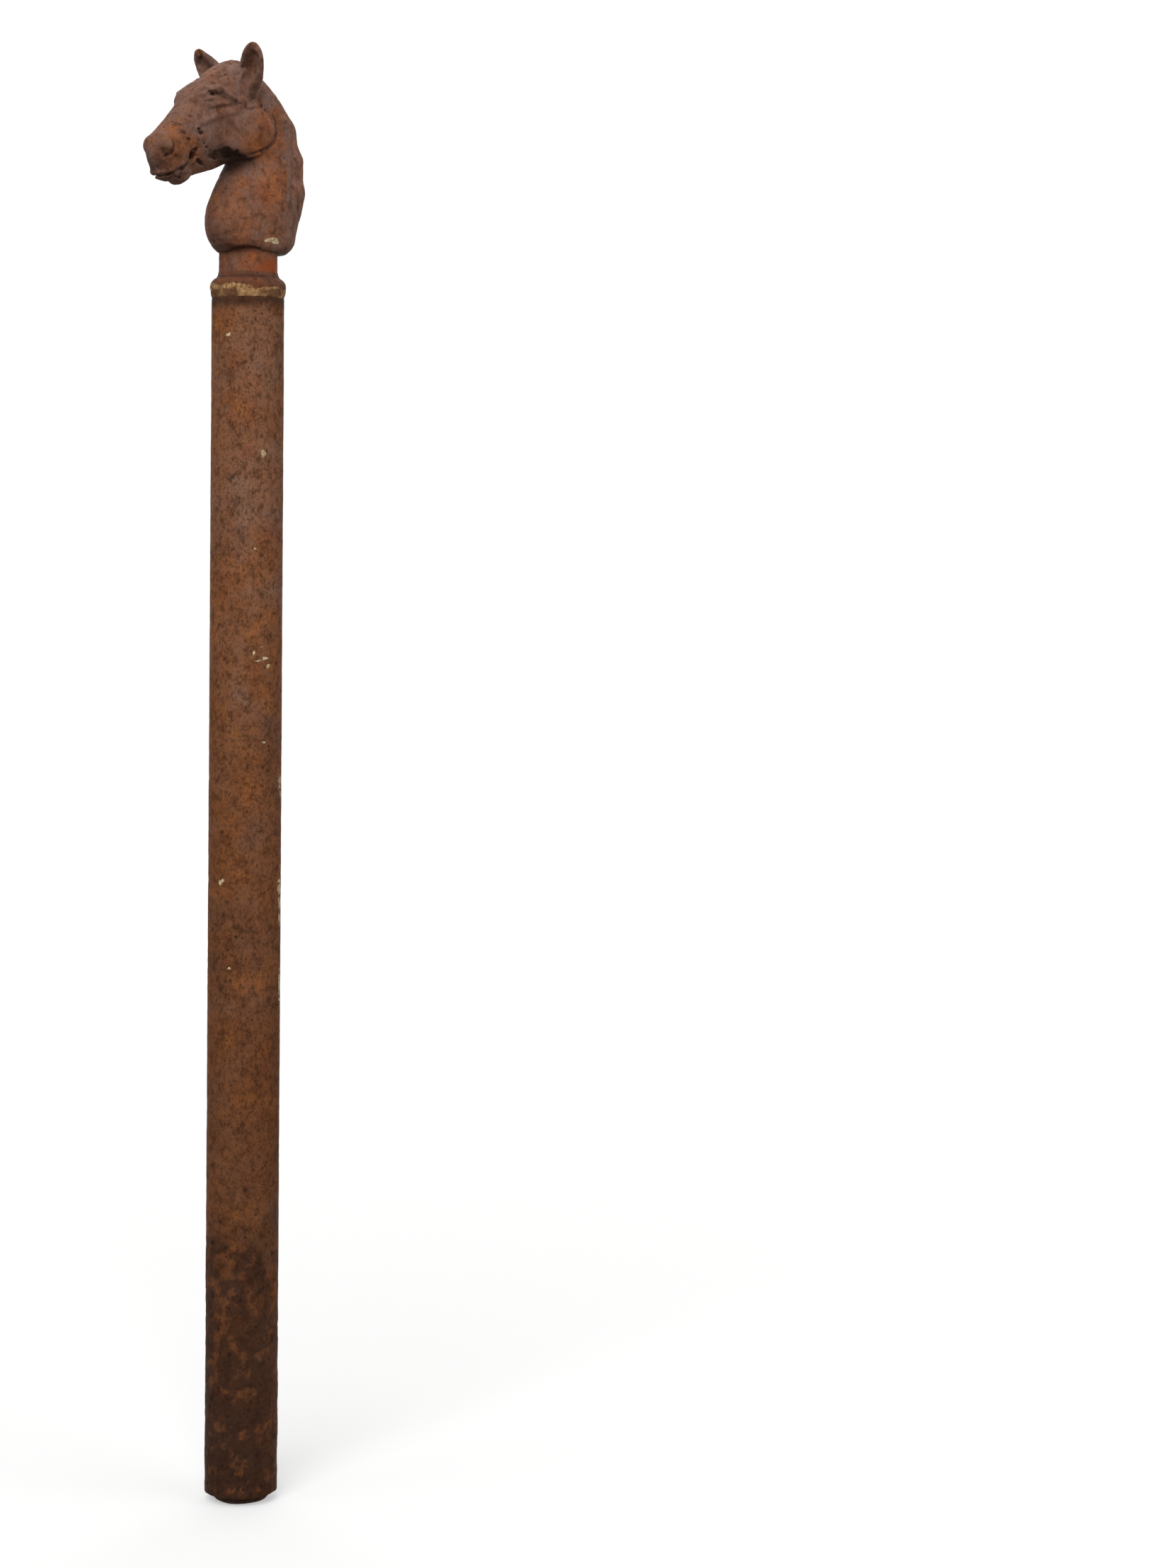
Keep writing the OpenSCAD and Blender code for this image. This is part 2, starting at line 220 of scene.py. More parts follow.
class Rust(Nodes):
    """Builds one rust material step by step."""

    def __init__(self, name):
        self.material = bpy.data.materials.new(name)
        self.material.use_nodes = True
        super().__init__(self.material.node_tree)
        self.where = self.add("ShaderNodeTexCoord", {}).outputs["Object"]

    def noise(self, scale, detail, roughness, offset=None, stretch=(1, 1, 1)):
        """Noise with lumps of about one metre over scale, moved by an offset."""
        where = self.where
        if offset:
            mapping = self.add("ShaderNodeMapping", {"Vector": where, "Location": offset, "Scale": stretch})
            where = mapping.outputs["Vector"]
        inputs = {"Vector": where, "Scale": scale, "Detail": detail, "Roughness": roughness}
        return self.add("ShaderNodeTexNoise", inputs).outputs["Fac"]

    def tint(self, name):
        """A tint of the piece's points, or 0 on a piece that lacks it."""
        return self.add("ShaderNodeAttribute", {}, attribute_name=name).outputs["Fac"]

    def band(self, value, low, high, out_low=0.0, out_high=1.0):
        """A smooth step from out_low to out_high while the value goes from low to high."""
        inputs = {"Value": value, "From Min": low, "From Max": high, "To Min": out_low, "To Max": out_high}
        return self.add("ShaderNodeMapRange", inputs, interpolation_type="SMOOTHSTEP").outputs["Result"]

    def finish(self, colour, rough, height, depth_mm, strength, gloss):
        """The material, with its layers linked to the shader."""
        bump = self.add("ShaderNodeBump", {"Strength": strength, "Distance": depth_mm * MM, "Height": height})
        inputs = {"Base Color": colour, "Roughness": rough, "Specular IOR Level": gloss,
                  "Normal": bump.outputs["Normal"]}
        self.feed(self.tree.nodes["Principled BSDF"], inputs)
        return self.material


FRESH_RUST = tone(136, 65, 25)
DULL_CRUST, LIGHT_CRUST = tone(128, 91, 56), tone(202, 160, 108)
# Dull and cream flakes; on the head the same colours make a painted highlight on the eye's lid
DULL_FLAKE_AND_HIGHLIGHT, CREAM = tone(150, 118, 82), tone(222, 205, 168)


def rust_material(name, cool, warm, bright, dark, bloom, red=tone(116, 60, 40),
                  patches=26.0, patchy=1.0, specks=0.35, gloss=0.2):
    """Rust in layers, from broad patches of brown to the crust and the flakes on it."""
    r = Rust(name)
    broad = r.noise(patches, 5, 0.62)
    other = r.noise(patches * 1.7, 5, 0.64, offset=(3.1, 1.7, 2.3))
    third = r.noise(patches * 2.6, 5, 0.66, offset=(5.3, 2.9, 4.7), stretch=(1, 1, 0.5))
    mottle = r.noise(105.0, 6, 0.68)
    grain = r.noise(330.0, 5, 0.72)
    flecks = r.noise(190.0, 3, 0.55, offset=(1.3, 4.1, 0.7))
    fine = r.noise(400.0, 4, 0.66, offset=(2.2, 0.4, 1.9), stretch=(1, 1, 0.7))
    blots = r.noise(170.0, 4, 0.7, offset=(0.6, 3.3, 2.8), stretch=(1, 1, 0.6))

    # Cool and warm brown, bright rust on the warm places, grey bloom on the cool ones, and red rust
    warmth = r.plus(r.tint("warm"), r.swing(broad, 0.5, 2.8 * patchy), clamp=True)
    colour = r.mix(warmth, cool, warm)
    on_warm = r.band(warmth, 0.25, 0.9, 0.12 * patchy, 0.85 * patchy)
    colour = r.mix(r.times(r.band(other, 0.50, 0.64), on_warm), colour, bright)
    on_cool = r.band(warmth, 0.2, 0.8, 0.75 * patchy, 0.12 * patchy)
    colour = r.mix(r.times(r.band(other, 0.49, 0.36), on_cool), colour, bloom)
    colour = r.mix(r.band(third, 0.52, 0.66, 0.0, 0.5 * patchy), colour, red)

    # Mottles and specks of a deeper brown, and bright specks
    brown = tuple(0.55 * d + 0.45 * w * 0.45 for d, w in zip(dark[:3], warm[:3])) + (1.0,)
    colour = r.mix(r.band(mottle, 0.54, 0.30, 0.0, 0.70), colour, brown)
    colour = r.mix(r.band(grain, 0.53, 0.32, 0.0, 0.46), colour, brown)
    colour = r.mix(r.band(fine, 0.54, 0.68, 0.0, 0.5 * specks), colour, bright)
    colour = r.mix(r.band(blots, 0.46, 0.34, 0.0, 0.8 * specks), colour, brown)
    colour = r.mix(r.band(fine, 0.47, 0.34, 0.0, specks), colour, brown)

    # Fresh rust, then the dark colour: grime in clusters of pits, dark stains, and painted shade in hollows,
    # carried by the dark and hollow tints
    fresh = r.band(r.plus(r.tint("fresh"), r.swing(mottle, 0.5, 0.8)), 0.15, 0.75, 0.0, 0.85)
    colour = r.mix(fresh, colour, FRESH_RUST)
    clusters = r.band(r.plus(broad, mottle), 0.92, 1.12)
    pits = r.times(r.band(flecks, 0.40, 0.29), clusters)
    # Pit grime together with the painted shade of the dark and hollow tints
    pit_grime_and_shade = r.plus(r.times(pits, 0.6), r.plus(r.tint("dark"), r.tint("hollow")), clamp=True)
    colour = r.mix(pit_grime_and_shade, colour, dark)

    # Crust of old putty, and pale flakes; on the head the pale tint also gives a painted highlight on the
    # eye's lid
    speckle = r.plus(r.times(mottle, 0.9), r.times(grain, 0.7))
    crust = r.band(r.plus(r.tint("ochre"), r.math("SUBTRACT", speckle, 0.8)), 0.24, 0.70)
    colour = r.mix(r.times(crust, 0.9), colour, r.mix(r.band(fine, 0.38, 0.64), DULL_CRUST, LIGHT_CRUST))
    flakes_and_highlight = r.band(r.plus(r.tint("pale"), r.swing(speckle, 0.8, 1.1)), 0.42, 0.60)
    colour = r.mix(r.times(flakes_and_highlight, 0.85), colour, r.mix(r.band(grain, 0.40, 0.62), DULL_FLAKE_AND_HIGHLIGHT, CREAM))

    rough = r.band(mottle, 0.25, 0.75, 0.92, 0.66)
    pitted = r.math("SUBTRACT", r.times(grain, 0.4), r.times(pits, 0.5))
    height = r.plus(r.times(mottle, 0.6), pitted)
    height = r.plus(height, r.times(crust, r.times(grain, 1.6)))
    return r.finish(colour, rough, height, 0.5, 0.8, gloss)


HEAD_RUST = rust_material(
    "head_rust", cool=tone(122, 89, 75), warm=tone(140, 83, 47), bright=tone(175, 102, 45),
    dark=tone(40, 23, 15), bloom=tone(129, 103, 94), specks=0.32)
POST_RUST = rust_material(
    "post_rust", cool=tone(131, 92, 70), warm=tone(128, 78, 45), bright=tone(160, 99, 52),
    dark=tone(38, 22, 14), bloom=tone(130, 100, 84), red=tone(114, 56, 33),
    patches=18.0, patchy=0.7, specks=0.75, gloss=0.1)
STUB_RUST = rust_material(
    "stub_rust", cool=tone(122, 80, 58), warm=tone(130, 76, 48), bright=tone(150, 80, 38),
    dark=tone(50, 28, 19), bloom=tone(118, 88, 72))
COLLAR_RUST = rust_material(
    "collar_rust", cool=tone(98, 64, 46), warm=tone(106, 61, 38), bright=tone(128, 72, 35),
    dark=tone(42, 25, 17), bloom=tone(96, 72, 59))
FOOT_RUST = rust_material(
    "foot_rust", cool=tone(66, 46, 36), warm=tone(74, 44, 28), bright=tone(104, 56, 28),
    dark=tone(28, 18, 14), bloom=tone(72, 56, 46), red=tone(66, 36, 24), gloss=0.1)


def putty_material():
    """Ochre putty, mottled, with pale grains, dark cracks and rusty stains."""
    r = Rust("old_putty")
    mottle = r.noise(150.0, 6, 0.7)
    grain = r.noise(480.0, 4, 0.7)
    colour = r.mix(r.band(mottle, 0.35, 0.65), tone(134, 96, 62), tone(184, 144, 98))
    colour = r.mix(r.band(grain, 0.56, 0.70, 0.0, 0.6), colour, tone(212, 180, 132))
    colour = r.mix(r.band(grain, 0.30, 0.42, 0.8, 0.0), colour, tone(78, 50, 34))
    colour = r.mix(r.tint("dark"), colour, tone(92, 58, 38))
    rough = r.band(mottle, 0.3, 0.7, 0.95, 0.82)
    return r.finish(colour, rough, r.plus(mottle, grain), 0.7, 0.9, 0.15)


PUTTY = putty_material()


# The head: the CAD casting as a level set, softened, then worked over like clay

VOXEL = 0.8
BAND = 8
MARGIN = 12
HEAD_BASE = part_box("head_casting")[0].z / MM

# Sides of the head that a shape goes on: the near one in the photograph is +x
NEAR, FAR, BOTH = (1,), (-1,), (1, -1)


def node_triangles(node):
    """A node's points (x to the side, u forward, h above the head's base, in millimetres) and triangles."""
    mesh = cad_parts[node].data
    mesh.calc_loop_triangles()
    co = np.zeros(len(mesh.vertices) * 3, np.float32)
    mesh.vertices.foreach_get("co", co)
    co = co.reshape(-1, 3) / MM
    points = np.stack([co[:, 0], -co[:, 1], co[:, 2] - HEAD_BASE], 1)
    triangles = np.zeros(len(mesh.loop_triangles) * 3, np.int32)
    mesh.loop_triangles.foreach_get("vertices", triangles)
    return points.astype(np.float32), triangles.reshape(-1, 3)


def blurred(values, passes):
    """A block of values, each of them mixed with its neighbours once in a pass."""
    for _ in range(passes):
        for axis in range(3):
            padded = np.pad(values, [(1, 1) if k == axis else (0, 0) for k in range(3)], mode="edge")
            n = values.shape[axis]
            before, here, after = (np.take(padded, range(k, k + n), axis) for k in range(3))
            values = 0.25 * before + 0.5 * here + 0.25 * after
    return values


class Clay:
    """A block of distances in millimetres, below zero inside, that shapes are put on or cut from."""

    def __init__(self, points, triangles):
        self.grid_to_mm = vdb.createLinearTransform(voxelSize=VOXEL)
        grid = vdb.FloatGrid.createLevelSetFromPolygons(
            points, triangles=triangles.astype(np.uint32), transform=self.grid_to_mm, halfWidth=BAND)
        low, high = grid.evalActiveVoxelBoundingBox()
        self.low = np.array(low) - MARGIN
        self.values = np.zeros(tuple(np.array(high) - self.low + MARGIN + 1), np.float32)
        grid.copyToArray(self.values, ijk=tuple(self.low.tolist()))

    def block(self, low, high):
        """A view of the distances between two corners, and the coordinates in it."""
        size = np.array(self.values.shape)
        i = np.clip(np.floor(np.array(low) / VOXEL).astype(int) - self.low, 0, size - 1)
        j = np.clip(np.ceil(np.array(high) / VOXEL).astype(int) - self.low + 1, 1, size)
        part = self.values[i[0]:j[0], i[1]:j[1], i[2]:j[2]]
        axes = [(np.arange(i[k], j[k]) + self.low[k]) * VOXEL for k in range(3)]
        return part, np.meshgrid(*axes, indexing="ij", sparse=True)

    def blend(self, part, shape, soft, cut):
        """Puts a shape on a part of the block, or cuts it out, with a soft joint."""
        if cut:
            shape = -shape
        gap = np.maximum(soft - np.abs(part - shape), 0) ** 2 / (4 * soft)
        part[...] = np.maximum(part, shape) + gap if cut else np.minimum(part, shape) - gap

    def lump(self, centre, radii, soft, cut=False, sides=BOTH):
        """An ellipsoid on the given sides of the head."""
        c, r = np.array(centre, float), np.array(radii, float)
        reach = np.array([r[0], max(r[1:]), max(r[1:])]) + 2 * soft + 2
        for side in sides:
            mid = c * np.array([side, 1, 1])
            part, grid = self.block(mid - reach, mid + reach)
            q = [(g - m) / w for g, m, w in zip(grid, mid, r)]
            k0 = np.sqrt(sum(v * v for v in q))
            k1 = np.sqrt(sum((v / w) ** 2 for v, w in zip(q, r)))
            self.blend(part, k0 * (k0 - 1) / np.maximum(k1, 1e-6), soft, cut)

    def cord(self, path, soft, cut=False, sides=BOTH, ragged=0.0):
        """A round bar through points (x, u, h, radius), with an edge that is ragged by some millimetres."""
        p = np.array(path, float)
        reach = p[:, 3:].max() + 2 * soft + 2
        for side in sides:
            pts = p * np.array([side, 1, 1, 1])
            part, (x, u, h) = self.block(pts[:, :3].min(0) - reach, pts[:, :3].max(0) + reach)
            best = None
            for a, b in zip(pts[:-1], pts[1:]):
                ab = b[:3] - a[:3]
                dx, du, dh = x - a[0], u - a[1], h - a[2]
                f = np.clip((dx * ab[0] + du * ab[1] + dh * ab[2]) / (ab @ ab), 0, 1)
                d = np.sqrt((dx - f * ab[0]) ** 2 + (du - f * ab[1]) ** 2 + (dh - f * ab[2]) ** 2)
                d = d - (a[3] + (b[3] - a[3]) * f)
                best = d if best is None else np.minimum(best, d)
            if ragged:
                places = np.stack([g.ravel() for g in np.broadcast_arrays(x, u, h)], 1)
                best = best + ragged * noise(places, 5.0, 211, 2).reshape(best.shape)
            self.blend(part, best, soft, cut)

    def soften(self, centre, reach, passes, grow):
        """Smooths the surface round a point and moves it outward by grow, most at the centre."""
        c, r = np.array(centre, float), np.array(reach, float)
        part, grid = self.block(c - 1.6 * r, c + 1.6 * r)
        share = np.exp(-2.2 * sum(((g - m) / w) ** 2 for g, m, w in zip(grid, c, r)))
        part[...] += share * (blurred(part, passes) - part - grow)

    def skin_point(self, start, direction):
        """The first point of the surface from a point inside, going out in a direction."""
        steps = np.arange(0, 30, 0.25)[:, None]
        line = start + steps * direction
        outside = np.nonzero(self.sample(self.values, line) > 0)[0]
        return line[outside[0]]

    def on_skin(self, p, lift):
        """The point of the surface nearest to p, moved outward by lift."""
        p = np.asarray(p, float)
        for _ in range(3):
            ends = np.concatenate([p + VOXEL * np.eye(3), p - VOXEL * np.eye(3), p[None]])
            v = self.sample(self.values, ends)
            n = v[:3] - v[3:6]
            n = n / max(np.linalg.norm(n), 1e-6)
            p = p - v[6] * n
        return p + lift * n

    def skin_path(self, path, side, lift):
        """A path (x, u, h, radius) on one side, moved out from the surface by a share of its radius."""
        return [tuple(self.on_skin((side * x, u, h), r * lift)) + (r,) for x, u, h, r in path]

    def groove(self, path, depth, soft, sides=BOTH, ragged=0.0):
        """A groove along the surface through points (x, u, h, radius), cut to a share of its radius."""
        for side in sides:
            self.cord(self.skin_path(path, side, 1 - depth), soft, cut=True, sides=(1,), ragged=ragged)

    def ridge(self, path, height, soft, sides=BOTH):
        """A ridge along the surface, standing out by a share of its radius."""
        for side in sides:
            self.cord(self.skin_path(path, side, height - 1), soft, sides=(1,))

    def well(self, radius, low, high, fill):
        """Fills or cuts an upright round well on the post's axis."""
        reach = radius + 6
        part, (x, u, h) = self.block((-reach, -reach, low - 6), (reach, reach, high + 6))
        d = np.maximum(np.sqrt(x * x + u * u) - radius, np.maximum(h - high, low - h))
        part[...] = np.minimum(part, d) if fill else np.maximum(part, -d)

    def trim_base(self):
        """Cuts off whatever is below the head's base."""
        part, (_, _, h) = self.block((-45, -75, -9), (45, 60, 40))
        part[...] = np.maximum(part, -h)

    def sample(self, values, p):
        """Values of a block at points, between its voxels."""
        q = p / VOXEL - self.low
        base = np.clip(np.floor(q).astype(int), 0, np.array(values.shape) - 2)
        f = q - base
        out = np.zeros(len(p))
        for corner in np.ndindex(2, 2, 2):
            w = np.prod(np.where(np.array(corner) == 1, f, 1 - f), axis=1)
            at = base + np.array(corner)
            out += w * values[at[:, 0], at[:, 1], at[:, 2]]
        return out

    def skin(self):
        """Points and outward quads of the surface."""
        grid = vdb.FloatGrid(float(BAND * VOXEL))
        grid.copyFromArray(self.values, ijk=tuple(self.low.tolist()), tolerance=0.0)
        grid.transform = self.grid_to_mm
        points, quads = grid.convertToQuads(isovalue=0.0)
        return points.astype(np.float64), quads.astype(np.int64)


# Radius of the bores that the stub goes through, in the head, the collar and the putty
SEAT_R = 29.8
SOCKET_TOP = 45.0
CORE_R = 19.0
CORE_TOP = 86.0
PIN_H = 12.0


def close_wells(clay):
    """Fills the wells and the pin's hole while the outside is worked, and smooths the facets."""
    clay.well(SEAT_R + 0.4, 0.0, SOCKET_TOP + 1, fill=True)
    clay.well(CORE_R + 1, 0.0, CORE_TOP + 1, fill=True)
    pin_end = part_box("head_pin")[1].x / MM
    clay.lump((pin_end - 7.4, 0, PIN_H), (8.4, 10, 9.5), 1.5)
    clay.trim_base()
    clay.values = blurred(clay.values, 3)


def open_wells(clay):
    """Cuts the wells again. The end of the pin's hole stays under its filler."""
    clay.well(SEAT_R, -5.0, SOCKET_TOP, fill=False)
    clay.well(CORE_R, 0.0, CORE_TOP, fill=False)
    clay.trim_base()


# Paths of the carving hold points (x, u, h, radius)

def carve_cheek(clay):
    """The jowl, the groove behind it, the crease under the ear and the facial crest below the eye."""
    clay.lump((19.5, 15, 121), (10.4, 26.5, 25), 2.5)
    behind_jowl = [(20.3, -13, 140, 1.2), (21.8, -16.5, 133, 1.9), (23.2, -16.6, 121, 2.3),
                   (24, -13, 112.6, 2.5), (25, -2.5, 105.4, 2.5), (26, 12, 99, 2.4), (23.5, 23, 94.5, 2)]
    clay.groove(behind_jowl, 1.1, 0.9)
    under_ear = [(25.4, 31, 142.6, 1.2), (26, 25, 140.6, 2), (24.6, 12.5, 144, 2.2), (18.6, 0, 148, 2)]
    clay.groove(under_ear, 0.6, 1.2, ragged=0.15)
    crest = [(24.8, 44, 137, 2.4), (24.4, 58, 133.5, 2.8), (22.8, 73, 128, 2.8), (20.8, 87, 121.5, 2)]
    clay.ridge(crest, 0.55, 4)


def carve_eye(clay):
    """The hood of the upper lid over a dark slit, and last a recess at the inner corner."""
    clay.lump((25.2, 76.5, 150.6), (4, 5.4, 2.8), 0.9, cut=True, sides=NEAR)
    clay.lump((26, 70, 150.6), (3.6, 5, 2.6), 1.2, cut=True, sides=FAR)
    hood = [(22.4, 79, 154.8, 2), (23.6, 74, 156.4, 3.6), (22.4, 65, 156.4, 3.4), (22.2, 57, 154.6, 3),
            (23.2, 50, 151.6, 2.4), (25, 45, 148.4, 1.6)]
    clay.ridge(hood, 0.75, 2.2, NEAR)
    clay.ridge(hood, 0.4, 2.2, FAR)
    slit = [(21.8, 83, 150.4, 1.5), (24.4, 79.4, 151, 1.9), (25.4, 75.5, 151.2, 2.1), (25.2, 72, 151, 1.7),
            (24.6, 69, 150.8, 1.2)]
    clay.groove(slit, 1.25, 0.6, NEAR)
    clay.groove([(25.4, 74, 151, 1.5), (25.2, 69, 151.2, 2), (24.6, 64, 150.6, 1.2)], 1.1, 0.8, FAR)
    behind_slit = [(24.4, 69, 150.8, 1.3), (24.6, 58, 149, 1.9), (25.6, 51, 147, 2.2), (26, 44.5, 145.2, 1.6)]
    clay.groove(behind_slit, 0.42, 1.6)
    clay.lump((21.4, 74.2, 155.2), (4.2, 6.2, 3.6), 1.6, sides=NEAR)
    clay.groove([(20.9, 85.3, 148.8, 2.2), (20.6, 86, 146.4, 2)], 0.95, 0.8, NEAR)


def carve_eye_folds(clay):
    """The lower lid, low folds under it from the inner corner back, and a crease over the brow."""
    lower_lid = [(23, 80.5, 145.8, 1.6), (24.4, 75, 147, 1.8), (23.8, 67.5, 147, 1.8), (24.4, 60, 145.6, 1.5)]
    clay.ridge(lower_lid, 0.5, 1.4)
    clay.groove([(20.6, 86, 142.8, 1.3), (22.6, 83.4, 141.8, 1.5), (24.2, 78, 142.2, 1.5)], 0.34, 1.2, NEAR)
    clay.ridge([(24.4, 71, 141, 1.9), (24.8, 63.5, 142.2, 2.1), (25, 55, 142.4, 1.6)], 0.4, 1.8)
    under_fold = [(22.6, 79, 134.6, 1.3), (24.4, 72, 136.8, 1.7), (25, 60.5, 139.2, 1.8),
                  (25.6, 46, 143.2, 1.8), (25.6, 38, 145, 1.2)]
    clay.groove(under_fold, 0.42, 1.6)
    clay.groove([(20.8, 74, 162.8, 1.6), (21.4, 64, 163.4, 1.7), (20.8, 54, 161.6, 1.4)], 0.36, 2)


def carve_nostril(clay):
    """A groove round the back and the lower sides of a boss, its opening, and a swelling behind it."""
    round_boss = [(18, 126.4, 100.6, 1.3), (18.9, 122.8, 95.8, 2.2), (17.8, 123.4, 89.6, 2.5),
                  (15.4, 126.6, 85.4, 2.3), (12.2, 131, 84.4, 1.8)]
    clay.groove(round_boss, 0.8, 1.3)
    clay.ridge([(16.3, 129.4, 95.6, 4), (16.2, 129.6, 93.4, 4)], 0.24, 1.2)
    clay.groove([(11.8, 133, 90.4, 2), (11.8, 132.4, 87.4, 2.2)], 0.7, 0.9)
    clay.ridge([(17.8, 121, 103, 2.2), (19, 118.6, 96, 2.6), (18.2, 119.6, 88, 2.4)], 0.5, 2)


# Pits that rust has eaten into the near cheek and nose
NEAR_PITS = (
    (19.9, 88.1, 110.7, 2.4), (19.6, 91.5, 113.8, 1.5), (17.8, 103.2, 102.7, 1.8), (11.5, 114.7, 117.1, 1.4),
    (13.6, 111.4, 116.2, 1.8), (14.3, 104.9, 122.1, 1.6), (15.7, 99.4, 126, 1.4), (16.5, 108.3, 108.5, 1.6),
    (18, 83, 100.5, 1.5), (18.2, 79, 97.5, 1.7),
)


def carve_mouth(clay):
    """The slit and the lips, and what rust has eaten out round the tether hole and under the jaw."""
    slit = [(0.5, 127.4, 65.4, 1.6), (7.1, 125, 65.6, 2.1), (13.4, 122, 67.6, 2.4), (15.8, 116.2, 70.6, 2.6),
            (14.6, 110, 73, 2.5), (13.2, 104, 75.4, 2.4), (14.4, 99, 80, 2.4), (15.6, 95.8, 85.5, 2.4),
            (16.4, 94.6, 89.5, 2.6)]
    clay.groove(slit, 1.25, 0.5, ragged=0.7)
    under_lip = [(10.6, 119, 59.6, 2.2), (12.4, 113, 61.4, 2.6), (11.6, 107, 64.6, 1.8)]
    clay.groove(under_lip, 0.7, 0.6, ragged=0.9)
    upper_lip = [(2, 128.4, 69, 1.8), (9, 126.6, 69.6, 2), (14.8, 121, 72, 2.2), (16.6, 114.6, 75, 2),
                 (15.6, 107, 78.6, 1.6)]
    clay.ridge(upper_lip, 0.5, 1.5)
    over_hole = [(17.2, 91.8, 94.2, 2), (16.8, 93.4, 90.4, 2.8), (15.4, 94.8, 86.4, 2.3)]
    clay.groove(over_hole, 1.3, 0.5, ragged=0.6)
    behind_hole = [(14.8, 87.5, 83.6, 2.3), (13.4, 82.5, 81, 2.6), (12.2, 76.5, 79.8, 1.8)]
    clay.groove(behind_hole, 1.2, 0.4, ragged=1.2)
    under_jaw = [(15.4, 70, 90, 3.6), (15, 60, 92.4, 6), (16.6, 51, 93.6, 7.4), (17.4, 42, 92, 8),
                 (17.4, 32, 89.6, 6.6), (17.6, 25, 88.4, 4.4)]
    clay.cord(under_jaw, 0.6, cut=True, ragged=1.6)
    for x, u, h, r in NEAR_PITS:
        pit = [(x, u - 0.6 * r, h, r), (x, u + 0.6 * r, h + 0.4 * r, r * 0.8)]
        clay.groove(pit, 0.95, 0.4, NEAR, ragged=0.6)


def carve_creases(clay):
    """A crease across the forehead, and a shallow groove in front of the mane's roll."""
    forehead = [(3, 68, 171.4, 1), (6.9, 65.5, 171, 1.2), (15.5, 56.7, 170.8, 1.4), (17, 49, 174, 1)]
    clay.groove(forehead, 0.8, 0.8, ragged=0.4)
    mane_edge = [(22.6, -30, 126, 2.6), (24.7, -36.8, 111.2, 3.6), (27.1, -37.4, 95.5, 4.2),
                 (29.9, -34, 80.5, 4.4), (32.3, -30.5, 62, 4.6), (33.3, -28.4, 46.3, 4.6),
                 (32.9, -27.4, 34.4, 4.2), (32.5, -25.4, 21.4, 3.2)]
    clay.groove(mane_edge, 0.28, 2.4)


# Ear, as the casting has it: foot and tip (x, u, h), and how far it turns outward
EAR_FOOT = np.array([15.0, 17.0, 156.0])
EAR_TIP = np.array([39.0, 33.5, 207.0])
EAR_TURN = 14.0

# The ear's hollow: share of the way from foot to tip, radius and depth
EAR_HOLLOW = ((0.32, 4.6, 0.5), (0.44, 6.8, 1.5), (0.58, 7.8, 2.2), (0.72, 7.0, 2.2), (0.84, 5.0, 1.3),
              (0.91, 3.4, 0.5))
HOLLOW_SHIFT = 2.4


def ear_point(share):
    """A point at a share of the way from the ear's foot to its tip."""
    return EAR_FOOT + share * (EAR_TIP - EAR_FOOT)


def ear_directions():
    """The direction of the ear's opening and the one across it."""
    axis = (EAR_TIP - EAR_FOOT) / np.linalg.norm(EAR_TIP - EAR_FOOT)
    facing = np.array([math.sin(math.radians(EAR_TURN)), math.cos(math.radians(EAR_TURN)), 0])
    opening = facing - axis * (facing @ axis)
    opening = opening / np.linalg.norm(opening)
    return opening, np.cross(axis, opening)


def carve_ears(clay):
    """A blunt tip, a rim along the outer edge, and the hollow of the shell."""
    tip = [tuple(ear_point(share)) + (2.8,) for share in (0.86, 0.92)]
    clay.cord(tip, 1.5)
    rim = [(20, 20, 160, 5), (28.8, 23.4, 167, 3.6), (34.6, 26, 176, 2.8), (37.2, 28.6, 187, 2.4),
           (38.4, 31, 197, 2.2)]
    clay.cord(rim, 3.5)
    opening, across = ear_directions()
    hollow = []
    for share, r, depth in EAR_HOLLOW:
        at = clay.skin_point(ear_point(share), opening)
        hollow.append(tuple(at + opening * (r - depth) - across * HOLLOW_SHIFT) + (r,))
    clay.cord(hollow, 1.6, cut=True)


def sculpt_head():
    """The whole head as clay."""
    clay = Clay(*node_triangles("head_casting"))
    close_wells(clay)
    # The far brow runs smoothly into the face
    clay.soften((-23, 78, 152), (15, 16, 14), 60, 1.6)
    carve_cheek(clay)
    carve_eye(clay)
    carve_eye_folds(clay)
    carve_nostril(clay)
    carve_mouth(clay)
    carve_creases(clay)
    carve_ears(clay)
    # The chest's underside rises to the stub
    clay.lump((20, 25.6, -1.5), (19, 19, 6.2), 1.2, cut=True, sides=NEAR)
    open_wells(clay)
    return clay


# The neck's middle line and its back (u) by height, for the mane
NECK_H = (0, 20, 48, 79, 100, 126, 152, 175)
NECK_MID = (-5.5, -4.5, -9, -19, -23, -22, -16, -8)
NECK_BACK = (-44, -61, -66.5, -70.5, -68, -59.5, -44, -14)

# The groove in front of the mane (u) by height
MANE_H = (21, 34, 46, 62, 80, 95, 111, 126)
MANE_U = (-25.4, -27.4, -28.4, -30.5, -34, -37.4, -36.8, -30)

# Where rust has eaten the surface most: strength, centre and reach
EATEN_SPOTS = (
    # Corner of the mouth, muzzle and chin
    (1.0, (17, 98, 86), (16, 46, 20)), (0.6, (14, 128, 88), (24, 22, 26)), (0.7, (6, 118, 64), (24, 22, 12)),
)


